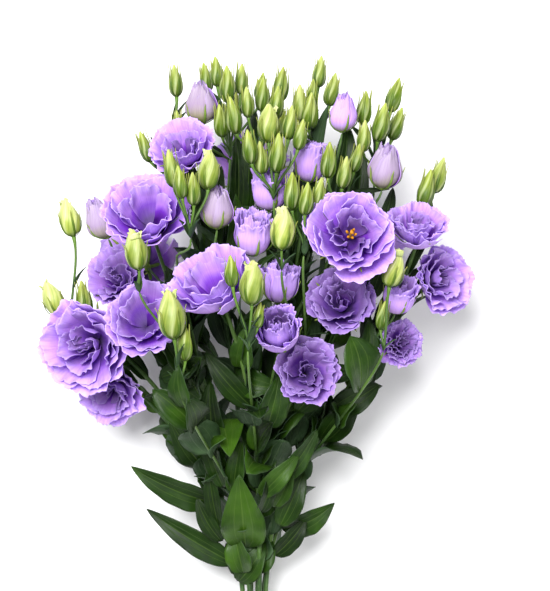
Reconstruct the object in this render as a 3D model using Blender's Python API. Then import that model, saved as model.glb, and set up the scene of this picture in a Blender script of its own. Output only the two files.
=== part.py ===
"""A bunch of cut double lisianthus, lying on its side on a surface.

+Y runs from the cut ends to the flower heads, +Z is up, and +X is to the right
when the bunch is seen from above with its heads away from the viewer. Seven
branching stems are held by a rubber band. Between them they carry sixteen open
blooms, six half open blooms, five closed blooms, seventeen sprays of green
buds and the largest leaves.

Lengths in the tables are millimetres, and a place is (x, y, z) from the middle
of the bunch. Heads that press on one another are eased apart before the stems
are led to them, as they settle in a real bunch.
"""

import math

import bmesh
import bpy
import numpy as np
from mathutils import Matrix, Vector

MM = 0.001
GAP = 0.4  # between two pieces that touch

# The bundle: where it is cut, where the band holds it, where it fans out
CUT_Y = -300.0
BAND_Y = -172.0
FAN_Y = -144.0
BUNDLE_SLOPE = 0.205  # rise of the bundle for each mm towards the heads
STEM_SPACING = 6.4
STEM_RADIUS = 2.8
TWIG_RADIUS = 1.3
BUNDLE_X = 4.0

BLOOM_SIDES = 12
STEM_SIDES = 6
TWIG_SIDES = 5

# Profiles of the blooms as (radius, height) in shares of the bloom's own radius
OPEN_PROFILE = [
    (0.07, 0.0),
    (0.20, 0.08),
    (0.42, 0.30),
    (0.62, 0.56),
    (0.92, 0.84),
    (1.0, 0.97),
    (0.90, 1.08),
    (0.45, 1.02),
    (0.0, 0.92),
]
HALF_PROFILE = [
    (0.14, 0.0),
    (0.60, 0.28),
    (0.92, 0.85),
    (1.0, 1.45),
    (0.97, 2.05),
    (0.80, 2.40),
    (0.0, 2.30),
]
CLOSED_PROFILE = [
    (0.16, 0.0),
    (0.62, 0.28),
    (0.97, 0.90),
    (0.98, 1.45),
    (0.70, 2.15),
    (0.34, 2.62),
    (0.0, 2.75),
]
PROFILES = {
    "open_bloom": OPEN_PROFILE,
    "half_bloom": HALF_PROFILE,
    "closed_bloom": CLOSED_PROFILE,
}

# A bud of a size of 1 along its own axis: (height, radius)
BUD_PROFILE = [(0.0, 1.9), (3.5, 4.9), (10.5, 6.3), (18.0, 4.6), (26.0, 0.8)]
PEDICEL_RADIUS = 1.1
SPRAY_REACH = 46.0  # from a spray's foot to its highest bud

# Where each stem stands in the bundle, in stem spacings, across and up
BUNDLE = {
    "stem_01": (-0.5, 0.866),
    "stem_02": (0.5, 0.866),
    "stem_03": (-1.0, 0.0),
    "stem_04": (0.0, 0.0),
    "stem_05": (1.0, 0.0),
    "stem_06": (-0.5, -0.866),
    "stem_07": (0.5, -0.866),
}

# Blooms: stem, kind, middle of the bloom, the way it faces, and its radius.
# The first bloom of a stem sits on the stem itself, the others on side twigs
BLOOMS = [
    ("stem_01", "open_bloom", (-80, 174, 160), (-0.12, 0.55, 0.80), 34),
    ("stem_01", "open_bloom", (-82, 90, 160), (-0.05, 0.30, 0.95), 30),
    ("stem_01", "closed_bloom", (-32, 176, 176), (0.02, 0.95, 0.30), 13),
    ("stem_02", "open_bloom", (-30, 122, 180), (-0.35, 0.60, 0.60), 34),
    ("stem_02", "half_bloom", (26, 80, 176), (-0.05, 0.45, 0.88), 16),
    ("stem_02", "half_bloom", (3, 158, 164), (0.05, 0.88, 0.45), 15),
    ("stem_02", "open_bloom", (42, 52, 150), (0.10, 0.10, 0.98), 27),
    ("stem_05", "open_bloom", (74, 161, 168), (0.03, 0.22, 0.97), 33),
    ("stem_05", "open_bloom", (74, 104, 132), (0.0, 0.35, 0.93), 28),
    ("stem_05", "half_bloom", (24, 120, 148), (0.10, 0.92, 0.38), 14),
    ("stem_03", "open_bloom", (-130, 72, 122), (-0.40, -0.05, 0.92), 36),
    ("stem_03", "open_bloom", (-112, 32, 88), (-0.20, -0.45, 0.87), 27),
    ("stem_03", "open_bloom", (-104, 124, 122), (-0.30, 0.30, 0.90), 25),
    ("stem_03", "closed_bloom", (-120, 172, 122), (-0.35, 0.90, 0.20), 13),
    ("stem_07", "open_bloom", (134, 164, 140), (0.10, 0.80, 0.58), 25),
    ("stem_07", "open_bloom", (150, 124, 102), (0.55, 0.15, 0.80), 27),
    ("stem_07", "open_bloom", (120, 72, 112), (0.35, 0.20, 0.92), 19),
    ("stem_07", "half_bloom", (118, 110, 138), (0.15, 0.80, 0.50), 13),
    ("stem_06", "open_bloom", (-52, 226, 146), (-0.20, 0.60, 0.77), 26),
    ("stem_06", "closed_bloom", (-38, 264, 128), (-0.05, 0.97, 0.20), 13),
    ("stem_06", "open_bloom", (-92, 140, 34), (-0.35, 0.35, -0.85), 33),
    ("stem_04", "half_bloom", (48, 216, 138), (0.10, 0.95, 0.30), 14),
    ("stem_04", "half_bloom", (16, 194, 140), (0.05, 0.92, 0.35), 14),
    ("stem_04", "closed_bloom", (74, 256, 138), (0.05, 0.97, 0.20), 12),
    ("stem_04", "closed_bloom", (106, 214, 140), (0.12, 0.94, 0.30), 14),
    ("stem_04", "open_bloom", (0, 214, 34), (0.0, 0.55, -0.80), 32),
    ("stem_04", "open_bloom", (92, 150, 34), (0.35, 0.35, -0.85), 33),
]

# Sprays: stem, and each bud's middle with its size
SPRAYS = [
    ("stem_06", [((-60, 282, 112), 0.95), ((-58, 246, 122), 0.85), ((-84, 229, 112), 0.95)]),
    (
        "stem_06",
        [
            ((-37, 286, 96), 0.9),
            ((-28, 290, 108), 0.9),
            ((-19, 279, 120), 1.1),
            ((-8, 284, 106), 0.9),
            ((8, 279, 92), 0.85),
            ((-24, 249, 134), 1.0),
        ],
    ),
    (
        "stem_04",
        [
            ((-13, 252, 152), 1.1),
            ((-2, 263, 140), 0.9),
            ((10, 270, 126), 1.0),
            ((25, 279, 112), 1.05),
            ((21, 262, 146), 1.0),
        ],
    ),
    (
        "stem_04",
        [
            ((0, 226, 174), 1.0),
            ((9, 218, 164), 0.95),
            ((22, 221, 178), 1.15),
            ((32, 246, 156), 1.0),
            ((40, 236, 166), 0.9),
            ((15, 246, 160), 1.2),
        ],
    ),
    (
        "stem_04",
        [
            ((56, 290, 104), 0.95),
            ((50, 273, 116), 0.75),
            ((66, 275, 112), 1.0),
            ((48, 256, 142), 1.1),
            ((40, 263, 128), 1.1),
        ],
    ),
    (
        "stem_07",
        [
            ((93, 258, 128), 1.0),
            ((106, 246, 142), 1.15),
            ((118, 270, 108), 1.05),
            ((119, 246, 120), 1.0),
            ((92, 235, 144), 0.95),
        ],
    ),
    ("stem_05", [((37, 190, 182), 1.1), ((48, 184, 192), 0.95), ((58, 189, 178), 0.9)]),
    ("stem_05", [((64, 214, 172), 1.05), ((76, 204, 180), 0.95), ((86, 216, 166), 0.85)]),
    ("stem_05", [((26, 163, 192), 1.35)]),
    (
        "stem_01",
        [((-54, 208, 178), 1.1), ((-47, 197, 190), 0.95), ((-37, 192, 184), 0.95), ((-25, 208, 174), 1.2)],
    ),
    ("stem_01", [((-88, 146, 200), 1.25)]),
    ("stem_01", [((-60, 96, 206), 1.5), ((-50, 74, 196), 1.1)]),
    ("stem_02", [((-14, 128, 212), 0.9), ((2, 120, 212), 1.35), ((7, 94, 200), 0.75)]),
    ("stem_03", [((-160, 108, 92), 1.2), ((-134, 107, 104), 1.1), ((-146, 173, 104), 1.2)]),
    ("stem_07", [((113, 132, 172), 1.2), ((105, 94, 156), 0.85)]),
    ("stem_07", [((143, 192, 126), 1.15), ((153, 203, 118), 1.1)]),
    ("stem_06", [((-44, 252, 62), 1.0), ((-14, 268, 56), 1.05), ((24, 250, 50), 1.0)]),
]
FORK_REACH = 105.0  # a side twig leaves its stem about this far below its head

# Leaves: stem, about where the leaf starts, its tip, its width, how far its middle
# bulges towards +Z, and how far its edges turn up
LEAVES = [
    ("stem_01", (-24, 24, 118), (-16, -18, 140), 40, 12, 0.10),
    ("stem_03", (-32, -22, 72), (-98, -30, 62), 28, 9, 0.22),
    ("stem_03", (-30, -6, 84), (-66, 10, 84), 24, 6, 0.20),
    ("stem_01", (-2, -98, 62), (-9, -34, 106), 42, 10, 0.14),
    ("stem_03", (-14, -112, 50), (-86, -66, 46), 22, 6, 0.25),
    ("stem_07", (52, -10, 80), (90, 36, 86), 26, 6, 0.30),
    ("stem_07", (30, -84, 52), (69, -60, 60), 26, 8, 0.20),
    ("stem_07", (62, 34, 84), (102, 46, 78), 18, 4, 0.25),
]
LEAF_THICKNESS = 0.9
LEAF_ROWS = 8

BAND_THICKNESS = 1.6
BAND_WIDTH = 8.0
BAND_SEGMENTS = 28


def unit(v):
    v = np.asarray(v, float)
    return v / np.linalg.norm(v)


def square_to(axis):
    """Two directions that are square to an axis and to each other; the first is nearest to +X."""
    across = unit(np.array([1.0, 0.0, 0.0]) - axis[0] * axis)
    return across, np.cross(axis, across)


def material(name, colour, roughness):
    made = bpy.data.materials.new(name)
    made.use_nodes = True
    shader = made.node_tree.nodes["Principled BSDF"]
    shader.inputs["Base Color"].default_value = (*colour, 1.0)
    shader.inputs["Roughness"].default_value = roughness
    shader.inputs["Metallic"].default_value = 0.0
    return made


def outward(name, points, faces):
    """A mesh from points in millimetres whose faces all look outward."""
    mesh = bpy.data.meshes.new(name)
    mesh.from_pydata((np.asarray(points) * MM).tolist(), [], faces)
    work = bmesh.new()
    work.from_mesh(mesh)
    bmesh.ops.recalc_face_normals(work, faces=work.faces)
    work.to_mesh(mesh)
    work.free()
    return mesh


def ringed_mesh(name, rings):
    """A closed solid through rings of points (mm), with a flat cap at each end."""
    count, sides = rings.shape[:2]
    faces = []
    for k in range(count - 1):
        for i in range(sides):
            j = (i + 1) % sides
            a, b = k * sides, (k + 1) * sides
            faces.append((a + i, a + j, b + j, b + i))
    faces.append(tuple(range(sides - 1, -1, -1)))
    faces.append(tuple((count - 1) * sides + i for i in range(sides)))
    mesh = outward(name, rings.reshape(-1, 3), faces)
    mesh.shade_smooth()
    return mesh


def tube(name, points, radii, sides):
    """A round solid along a line (mm) whose radius changes along it, turned as little as possible."""
    points = np.asarray(points, float)
    along = np.gradient(points, axis=0)
    along /= np.linalg.norm(along, axis=1, keepdims=True)
    across = square_to(along[0])[0]
    turn = np.arange(sides) * 2 * math.pi / sides
    rings = []
    for point, direction, radius in zip(points, along, radii):
        across = unit(across - across @ direction * direction)
        up = np.cross(direction, across)
        circle = np.outer(np.cos(turn), across) + np.outer(np.sin(turn), up)
        rings.append(point + radius * circle)
    return ringed_mesh(name, np.array(rings))


def add(name, mesh, finish, hidden=False):
    made = bpy.data.objects.new(name, mesh)
    bpy.context.scene.collection.objects.link(made)
    made.data.materials.append(finish)
    if hidden:
        made.hide_render = True
        made.display_type = "WIRE"
    return made


def united(name, meshes, finish):
    """One object: the first mesh joined with the others by Boolean unions."""
    body = add(name, meshes[0], finish)
    for k, mesh in enumerate(meshes[1:]):
        part = add(f"{name}_join_{k + 1}", mesh, finish, hidden=True)
        union = body.modifiers.new(f"join_{k + 1}", "BOOLEAN")
        union.operation = "UNION"
        union.solver = "EXACT"
        union.object = part
    return body


def hermite(p, q, along_p, along_q, n):
    """A smooth line from p to q that leaves and arrives along two directions."""
    t = np.linspace(0, 1, n)[:, None]
    reach = np.linalg.norm(q - p)
    return (
        (2 * t**3 - 3 * t**2 + 1) * p
        + (t**3 - 2 * t**2 + t) * along_p * reach
        + (3 * t**2 - 2 * t**3) * q
        + (t**3 - t**2) * along_q * reach
    )


class Bloom:
    """A solid of revolution about the way the bloom faces."""

    def __init__(self, stem, kind, middle, axis, size):
        self.kind, self.stem, self.size = kind, stem, size
        self.axis = unit(axis)
        self.profile = np.array(PROFILES[kind]) * size
        self.place = np.array(middle, float) - self.axis * self.profile[:, 1].max() / 2
        self.guide = self.place.copy()

    def balls(self):
        """The bloom as balls, (middle from its base, radius, whether the stem may touch it)."""
        if self.kind == "open_bloom":
            shares = [(0.70, 0.58, False), (0.20, 0.20, True)]
        else:
            shares = [(0.75, 0.95, True), (1.70, 1.0, False)]
        found = [(self.axis * h * self.size, r * self.size, near) for h, r, near in shares]
        if self.kind == "open_bloom":
            across, up = square_to(self.axis)
            for turn in np.arange(14) * math.pi / 7:
                out = across * math.cos(turn) + up * math.sin(turn)
                found.append(((self.axis * 0.85 + out * 0.74) * self.size, 0.28 * self.size, False))
        return found

    def rings(self, sides):
        turn = np.arange(sides) * 2 * math.pi / sides
        across, up = square_to(self.axis)
        circle = np.outer(np.cos(turn), across) + np.outer(np.sin(turn), up)
        profile = self.profile.copy()
        profile[-1, 0] = 0.12 * self.size
        return np.array([self.place + h * self.axis + r * circle for r, h in profile])

    def foot(self):
        return self.place - self.axis * GAP

    def build(self, name, finish):
        return add(name, ringed_mesh(name, self.rings(BLOOM_SIDES)), finish)


class Spray:
    """Buds on pedicels that rise from one foot."""

    kind = "buds"

    def __init__(self, stem, buds):
        self.stem = stem
        self.buds = [(np.array(place, float), size) for place, size in buds]
        middle = np.mean([place for place, _ in self.buds], axis=0)
        low = min(place[1] - 13 * size for place, size in self.buds)
        self.axis = unit((0.25 * np.sign(middle[0]) * abs(middle[0]) / 100, 0.95, 0.05))
        reach = SPRAY_REACH if len(buds) > 1 else 0.7 * SPRAY_REACH
        self.place = np.array([middle[0] * 0.97, min(low - 14, middle[1] - reach), middle[2] - 8])
        self.guide = self.place.copy()

    def bud_axis(self, place):
        lean = place - self.guide
        return unit(unit(lean) + 1.6 * self.axis)

    def balls(self):
        found = []
        for middle, size in self.buds:
            axis = self.bud_axis(middle)
            for along, radius in ((-6.5, 5.6), (0.0, 6.8), (7.0, 5.2)):
                found.append((middle - self.guide + axis * along * size, radius * size, False))
            stalk = self.stalk(middle, size, 6)
            found += [(point - self.place, 1.6, False) for point in stalk[1:-1]]
        return found

    def stalk(self, middle, size, n):
        """The line of a pedicel from the spray's foot to the foot of a bud."""
        axis = self.bud_axis(middle)
        bud_foot = middle + self.place - self.guide - axis * 13 * size
        return hermite(self.place, bud_foot, self.axis, axis, n)

    def foot(self):
        return self.place - self.axis * 2 * GAP

    def build(self, name, finish):
        order = sorted(self.buds, key=lambda bud: -bud[0][1])
        meshes = []
        for k, (middle, size) in enumerate(order):
            stalk = self.stalk(middle, size, 5)
            axis = self.bud_axis(middle)
            bud = [stalk[-1] + axis * h * size for h, _ in BUD_PROFILE]
            radii = [PEDICEL_RADIUS * (1.25 if k == 0 else 0.95)] * 4
            radii += [r * size for _, r in BUD_PROFILE]
            line = np.vstack([stalk[:-1], bud])
            meshes.append(tube(f"{name}_{k}", line, radii, TWIG_SIDES))
        return united(name, meshes, finish)


def tail(head):
    """The end of the twig under a head, as balls."""
    return [(-head.axis * down, 2.2, True) for down in (4.0, 8.0, 12.0)]


def ease_apart(heads, rounds=240, clearance=1.2):
    """Moves heads that press on each other apart, mostly up and down."""
    balls = [(k, *ball) for k, h in enumerate(heads) for ball in h.balls() + tail(h)]
    owner = np.array([k for k, *_ in balls])
    offset = np.array([c for _, c, *_ in balls])
    radius = np.array([r for _, _, r, _ in balls])
    place = np.array([h.place for h in heads])
    other = owner[:, None] != owner[None, :]
    reach = radius[:, None] + radius[None, :] + clearance
    for _ in range(rounds):
        at = place[owner] + offset
        apart = at[:, None] - at[None, :]
        distance = np.linalg.norm(apart, axis=2) + 1e-9
        press = np.where(other, np.clip(reach - distance, 0, None), 0)
        push = (apart / distance[..., None]) * press[..., None] * 0.25
        push = push.sum(axis=1) * np.array([0.45, 0.45, 1.0])
        for k in range(3):
            place[:, k] += np.bincount(owner, push[:, k], len(heads))
        low = np.clip(radius - (place[owner] + offset)[:, 2], 0, None)
        lift = np.zeros(len(heads))
        np.maximum.at(lift, owner, low)
        place[:, 2] += lift
    for head, moved in zip(heads, place):
        head.place = moved


def set_on_floor(blooms):
    """The blooms that face down carry the bunch: their lowest corners lie at height 0."""
    for bloom in blooms:
        if bloom.axis[2] < 0:
            bloom.place[2] -= bloom.rings(BLOOM_SIDES)[..., 2].min()


def bundle_point(stem, y):
    """The middle of a stem where the bundle is still parallel. The lowest stems lie on height 0 at the cut."""
    across, up = BUNDLE[stem]
    lowest = 0.866 * STEM_SPACING + STEM_RADIUS * math.cos(math.atan(BUNDLE_SLOPE))
    z = lowest + (y - CUT_Y) * BUNDLE_SLOPE
    return np.array([BUNDLE_X + across * STEM_SPACING, y, z + up * STEM_SPACING])


STEP = 5.0  # spacing of the points while the stems are led to their heads


class Route:
    """The line of a stem, or of a twig that starts on its stem, up to one head."""

    def __init__(self, stem, head, points, held, start=None):
        self.stem, self.head, self.points = stem, head, points
        self.held = held  # how many points at the start stay where they are
        self.start = start  # the point of its stem that a twig starts on


def lead_stems(heads):
    rise = unit((0, 1, BUNDLE_SLOPE))
    routes = []
    for stem in BUNDLE:
        mine = [h for h in heads if h.stem == stem]
        foot = bundle_point(stem, FAN_Y)
        end = mine[0].foot()
        n = int(np.linalg.norm(end - foot) / STEP)
        straight = [bundle_point(stem, y) for y in np.arange(CUT_Y, FAN_Y - STEP / 2, STEP)]
        trunk = np.vstack([straight, hermite(foot, end, rise, mine[0].axis, n)])
        routes.append(Route(stem, mine[0], trunk, len(straight)))
        for head in mine[1:]:
            end = head.foot()
            leave = max(FAN_Y + 15.0, min(end[1], mine[0].place[1]) - FORK_REACH)
            start = int(np.argmin(np.abs(trunk[:, 1] - leave)))
            along = unit(trunk[start + 1] - trunk[start - 1])
            n = max(8, int(np.linalg.norm(end - trunk[start]) / STEP))
            twig = hermite(trunk[start], end, along, head.axis, n)
            routes.append(Route(stem, head, twig, 1, start))
    return routes


def ease_routes(routes, heads, rounds=170):
    """Leads the stems and twigs round the heads and round each other's stems."""
    count = [len(r.points) for r in routes]
    first = np.cumsum([0] + count[:-1])
    points = np.vstack([r.points for r in routes])
    names = list(BUNDLE)
    stem_of = np.repeat([names.index(r.stem) for r in routes], count)
    head_of = np.repeat([heads.index(r.head) for r in routes], count)
    to_end = np.concatenate([np.arange(n)[::-1] for n in count])
    free = np.ones(len(points), bool)
    trunk_first = {}
    for route, start, n in zip(routes, first, count):
        free[start : start + route.held] = False
        free[start + n - 3 : start + n] = False
        if route.start is None:
            trunk_first[route.stem] = start
    balls = [(k, h.place + c, r, near) for k, h in enumerate(heads) for c, r, near in h.balls()]
    ball_owner = np.array([k for k, *_ in balls])
    ball_at = np.array([c for _, c, *_ in balls])
    from_ball = np.array([r for _, _, r, _ in balls]) + TWIG_RADIUS + 1.4
    near = np.array([near for *_, near in balls])
    own_end = (head_of[:, None] == ball_owner[None, :]) & near[None, :] & (to_end[:, None] < 7)
    other_stem = stem_of[:, None] != stem_of[None, :]
    keep_off = 2 * STEM_RADIUS + 1.2
    whole = [(h.place + h.axis * 0.6 * h.size, h.size) for h in heads if h.kind == "open_bloom"]
    whole_owner = np.array([k for k, h in enumerate(heads) if h.kind == "open_bloom"])
    whole_at = np.array([c for c, _ in whole])
    from_whole = np.array([r for _, r in whole]) + 4.0
    own_whole = head_of[:, None] == whole_owner[None, :]
    own_whole &= to_end[:, None] * STEP < from_whole[None, :] + 12.0
    for turn in range(rounds):
        if turn < rounds - 30:
            middle = points.copy()
            middle[1:-1] = (points[:-2] + points[2:]) / 2
            points[free] += 0.4 * (middle[free] - points[free])
        if turn < rounds // 2:  # first clear of each open bloom as a whole, then close round it
            at, reach, exempt = whole_at, from_whole, own_whole
        else:
            at, reach, exempt = ball_at, from_ball, own_end
        away = points[:, None] - at[None, :]
        distance = np.linalg.norm(away, axis=2) + 1e-9
        press = np.where(exempt, 0, np.clip(reach - distance, 0, None))
        push = (away / distance[..., None] * press[..., None] * 0.5).sum(axis=1)
        away = points[:, None] - points[None, :]
        distance = np.linalg.norm(away, axis=2) + 1e-9
        press = np.where(other_stem, np.clip(keep_off - distance, 0, None), 0)
        push += (away / distance[..., None] * press[..., None] * 0.5).sum(axis=1)
        size = np.linalg.norm(push, axis=1, keepdims=True)
        push *= np.minimum(1.0, 3.0 / (size + 1e-9))
        points[free] += push[free]
        points[:, 2] = np.maximum(points[:, 2], STEM_RADIUS + 0.2)
        for route, start in zip(routes, first):
            if route.start is not None:
                points[start] = points[trunk_first[route.stem] + route.start]
    for route, start, n in zip(routes, first, count):
        route.points = points[start : start + n]


def thinned(points, apart=0.7):
    """The points of a line that keep every dropped one within a distance of the line."""
    chord = points[-1] - points[0]
    away = points - points[0]
    along = np.outer(away @ chord / (chord @ chord), chord)
    off = np.linalg.norm(away - along, axis=1)
    worst = int(np.argmax(off))
    if off[worst] < apart:
        return points[[0, -1]]
    return np.vstack([thinned(points[: worst + 1], apart)[:-1], thinned(points[worst:], apart)])


def build_stem(name, routes, finish):
    meshes = []
    for k, route in enumerate(routes):
        if route.start is None:
            path = thinned(route.points)
            radii = np.interp(path[:, 1], [CUT_Y, 0, 250], [STEM_RADIUS, 2.2, 1.4])
            meshes.append(tube(f"{name}_trunk", path, radii, STEM_SIDES))
        else:
            path = thinned(route.points)
            radii = np.linspace(1.6, TWIG_RADIUS, len(path))
            meshes.append(tube(f"{name}_twig_{k}", path, radii, TWIG_SIDES))
    return united(name, meshes, finish)


class Leaf:
    """A pointed oval blade, broadest a third of the way out, that starts against its stem."""

    def __init__(self, stem, start, tip, width, bulge, turn_up):
        self.stem, self.width, self.bulge, self.turn_up = stem, width, bulge, turn_up
        self.start, self.tip = np.array(start, float), np.array(tip, float)

    def set_foot(self, trunk, further):
        """Starts the leaf beside its stem, at the nearest point or one a little further along."""
        nearest = int(np.argmin(np.linalg.norm(trunk - self.start, axis=1))) + further
        stem_way = unit(trunk[nearest + 1] - trunk[nearest - 1])
        along = unit(self.tip - trunk[nearest])
        out = unit(along - along @ stem_way * stem_way)
        self.foot = trunk[nearest] + out * (STEM_RADIUS + GAP + 0.6) + along * 0.8

    def blade(self):
        """Three points across the blade for each row from foot to tip, and the way its face looks."""
        tip = self.tip
        across, normal = square_to(unit(tip - self.foot))
        if abs(normal[2]) < abs(across[2]):
            across, normal = normal, across
        if normal[2] < 0:
            normal = -normal
        t = np.linspace(0, 1, LEAF_ROWS)[:, None, None]
        side = np.array((-1, 0, 1))[None, :, None]
        half = self.width / 2 * (np.sin(math.pi * t**0.8) ** 0.75) * (1 - 0.25 * t) + 1.4 * (1 - t)
        half[-1] = 0.7
        spine = self.foot + (tip - self.foot) * t + normal * self.bulge * 4 * t * (1 - t)
        return spine + across * half * side + normal * abs(side) * half * self.turn_up, normal

    def clear_of(self, routes, balls):
        """Moves the foot along the stem and the tip up or down until the blade clears everything."""
        trunk = next(r.points for r in routes if r.stem == self.stem and r.start is None)
        lines = np.vstack([r.points for r in routes if r.points is not trunk])
        at = np.vstack([lines, [c for c, _ in balls]])
        reach = np.concatenate([np.full(len(lines), 2.6), [r for _, r in balls]])
        tip, best = self.tip, None
        for further in (0, 2, -2, 4, -4, 6, -6):
            for lift in (0, 5, -5, 10, -10, 15, -15, 20, -20, 30, -30, 40):
                self.tip = tip + np.array((0, 0, lift))
                self.set_foot(trunk, further)
                grid, _ = self.blade()
                fine = np.concatenate([grid, (grid[:, :-1] + grid[:, 1:]) / 2], axis=1)
                fine = np.concatenate([fine, (fine[:-1] + fine[1:]) / 2]).reshape(-1, 3)
                room = (np.linalg.norm(fine[:, None] - at[None, :], axis=2) - reach).min()
                room = min(room, 1.0) - 0.01 * abs(lift) - 0.02 * abs(further)
                if best is None or room > best[0]:
                    best = (room, self.tip, self.foot)
        _, self.tip, self.foot = best

    def build(self, name, finish):
        grid, normal = self.blade()
        wall = normal * LEAF_THICKNESS / 2
        points = np.vstack([(grid + wall).reshape(-1, 3), (grid - wall).reshape(-1, 3)])
        n = LEAF_ROWS * 3
        faces = []
        for k in range(LEAF_ROWS - 1):
            for j in range(2):
                a = 3 * k + j
                faces.append((a, a + 1, a + 4, a + 3))
                faces.append((n + a + 3, n + a + 4, n + a + 1, n + a))
        right = [3 * k + 2 for k in range(LEAF_ROWS)]
        left = [3 * k for k in range(LEAF_ROWS - 1, 0, -1)]
        loop = [0, 1] + right + [n - 2] + left
        for a, b in zip(loop, loop[1:] + loop[:1]):
            faces.append((b, a, n + a, n + b))
        return add(name, outward(name, points, faces), finish)


def build_band(finish):
    """The rubber band: a flat ring round the bundle, square to it."""
    middle = bundle_point("stem_04", BAND_Y)
    axis = unit((0, 1, BUNDLE_SLOPE))
    across, up = square_to(axis)
    inner = STEM_SPACING + STEM_RADIUS + GAP
    outer = inner + BAND_THICKNESS
    half = BAND_WIDTH / 2
    section = [(inner, -half), (outer, -half), (outer, half), (inner, half)]
    n = BAND_SEGMENTS
    points, faces = [], []
    for i in range(n):
        a = 2 * math.pi * i / n
        out = math.cos(a) * across + math.sin(a) * up
        j = (i + 1) % n
        for k, (r, h) in enumerate(section):
            m = (k + 1) % 4
            points.append(middle + out * r + axis * h)
            faces.append((4 * i + k, 4 * j + k, 4 * j + m, 4 * i + m))
    return add("rubber_band", outward("rubber_band", points, faces), finish)


def centre_on_floor(nodes):
    """Moves everything so that the box of the whole bunch is centred on Z and stands on height 0."""
    bpy.context.view_layer.update()
    graph = bpy.context.evaluated_depsgraph_get()
    corners = []
    for node in nodes:
        shown = node.evaluated_get(graph)
        mesh = shown.to_mesh()
        flat = np.empty(len(mesh.vertices) * 3)
        mesh.vertices.foreach_get("co", flat)
        corners.append(flat.reshape(-1, 3))
        shown.to_mesh_clear()
    every = np.vstack(corners)
    low, high = every.min(axis=0), every.max(axis=0)
    shift = Vector((-(low[0] + high[0]) / 2, -(low[1] + high[1]) / 2, -low[2]))
    for thing in bpy.data.objects:
        thing.data.transform(Matrix.Translation(shift))


def main():
    for old in list(bpy.data.objects):
        bpy.data.objects.remove(old)
    petal = material("petal", (0.42, 0.20, 0.78), 0.55)
    pale_petal = material("pale_petal", (0.62, 0.48, 0.72), 0.55)
    bud_green = material("bud", (0.46, 0.58, 0.13), 0.50)
    stem_green = material("stem", (0.10, 0.22, 0.08), 0.50)
    leaf_green = material("leaf", (0.05, 0.14, 0.04), 0.45)
    rubber = material("rubber", (0.62, 0.42, 0.22), 0.70)

    blooms = [Bloom(*row) for row in BLOOMS]
    sprays = [Spray(*row) for row in SPRAYS]
    heads = blooms + sprays
    ease_apart(heads)
    set_on_floor(blooms)
    routes = lead_stems(heads)
    ease_routes(routes, heads)

    nodes = []
    numbers = {}
    finishes = {"open_bloom": petal, "half_bloom": petal, "closed_bloom": pale_petal}
    for head in heads:
        numbers[head.kind] = numbers.get(head.kind, 0) + 1
        name = f"{head.kind}_{numbers[head.kind]:02d}"
        nodes.append(head.build(name, finishes.get(head.kind, bud_green)))
    for stem in BUNDLE:
        nodes.append(build_stem(stem, [r for r in routes if r.stem == stem], stem_green))
    balls = [(h.place + c, r) for h in heads for c, r, _ in h.balls()]
    for k, row in enumerate(LEAVES):
        leaf = Leaf(*row)
        leaf.clear_of(routes, balls)
        nodes.append(leaf.build(f"leaf_{k + 1:02d}", leaf_green))
    nodes.append(build_band(rubber))
    centre_on_floor(nodes)


main()
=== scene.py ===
# %% [markdown]
# # A bunch of double lisianthus
#
# This lesson builds the looks of a cut bunch of lisianthus that lies on its side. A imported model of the
# bunch gives every head, spray, stem and leaf its place as a plain solid. Each plain solid is read for
# its place, its axis and its size, and a living surface is then grown there: ruffled petals, rolled
# buds, waxy leaves. So the looks and the solids always agree.
#
# A note on words: a *sheet* here is a surface on a grid, `points[i, j]`, where `i` runs along the
# sheet from its foot to its tip and `j` runs across it. Lengths are metres, and `MM` is a millimetre.

import math

import bmesh
import bpy
import numpy as np
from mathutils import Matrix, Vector


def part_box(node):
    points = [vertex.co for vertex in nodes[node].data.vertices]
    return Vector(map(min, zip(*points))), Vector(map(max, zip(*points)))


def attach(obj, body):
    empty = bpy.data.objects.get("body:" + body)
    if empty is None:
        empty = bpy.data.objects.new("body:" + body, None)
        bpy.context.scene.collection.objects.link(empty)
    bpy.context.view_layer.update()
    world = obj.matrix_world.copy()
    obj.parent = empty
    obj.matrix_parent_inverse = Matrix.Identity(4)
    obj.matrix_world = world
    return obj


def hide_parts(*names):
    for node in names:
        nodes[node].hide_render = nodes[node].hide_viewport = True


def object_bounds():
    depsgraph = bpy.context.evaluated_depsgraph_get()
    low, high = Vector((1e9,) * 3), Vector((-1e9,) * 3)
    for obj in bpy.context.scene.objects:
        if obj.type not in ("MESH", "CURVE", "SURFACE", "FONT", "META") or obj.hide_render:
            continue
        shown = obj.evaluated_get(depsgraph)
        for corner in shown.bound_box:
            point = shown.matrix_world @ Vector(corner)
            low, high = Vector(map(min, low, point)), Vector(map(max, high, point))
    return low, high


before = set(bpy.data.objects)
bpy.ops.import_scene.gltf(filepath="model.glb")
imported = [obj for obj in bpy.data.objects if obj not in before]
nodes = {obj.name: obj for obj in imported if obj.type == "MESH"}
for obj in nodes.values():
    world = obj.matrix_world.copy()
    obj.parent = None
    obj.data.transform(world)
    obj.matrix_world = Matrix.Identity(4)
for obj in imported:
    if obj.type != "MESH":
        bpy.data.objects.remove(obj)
cad_box = [list(corner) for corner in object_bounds()]
MM = 0.001
print("packed nodes:", len(nodes), "box in mm:", np.round(np.array(cad_box) / MM))

# %% [markdown]
# ## Small helpers for directions, smooth lines and random numbers
#
# A bunch is full of accidents, but a lesson has to come out the same each time. One generator for all
# would do, but then a new leaf would change every petal after it. So every piece draws its accidents
# from its own generator, seeded with the piece's name.
#
# A smooth line goes through a few stations that are easy to read and change. A Blender curve could do
# that as well, but a line that is a formula can be asked for a whole grid of points at once.


# %% Helpers: directions, ramps and seeds
def unit(v):
    """v / |v|."""
    v = np.asarray(v, float)
    return v / np.linalg.norm(v)


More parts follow.
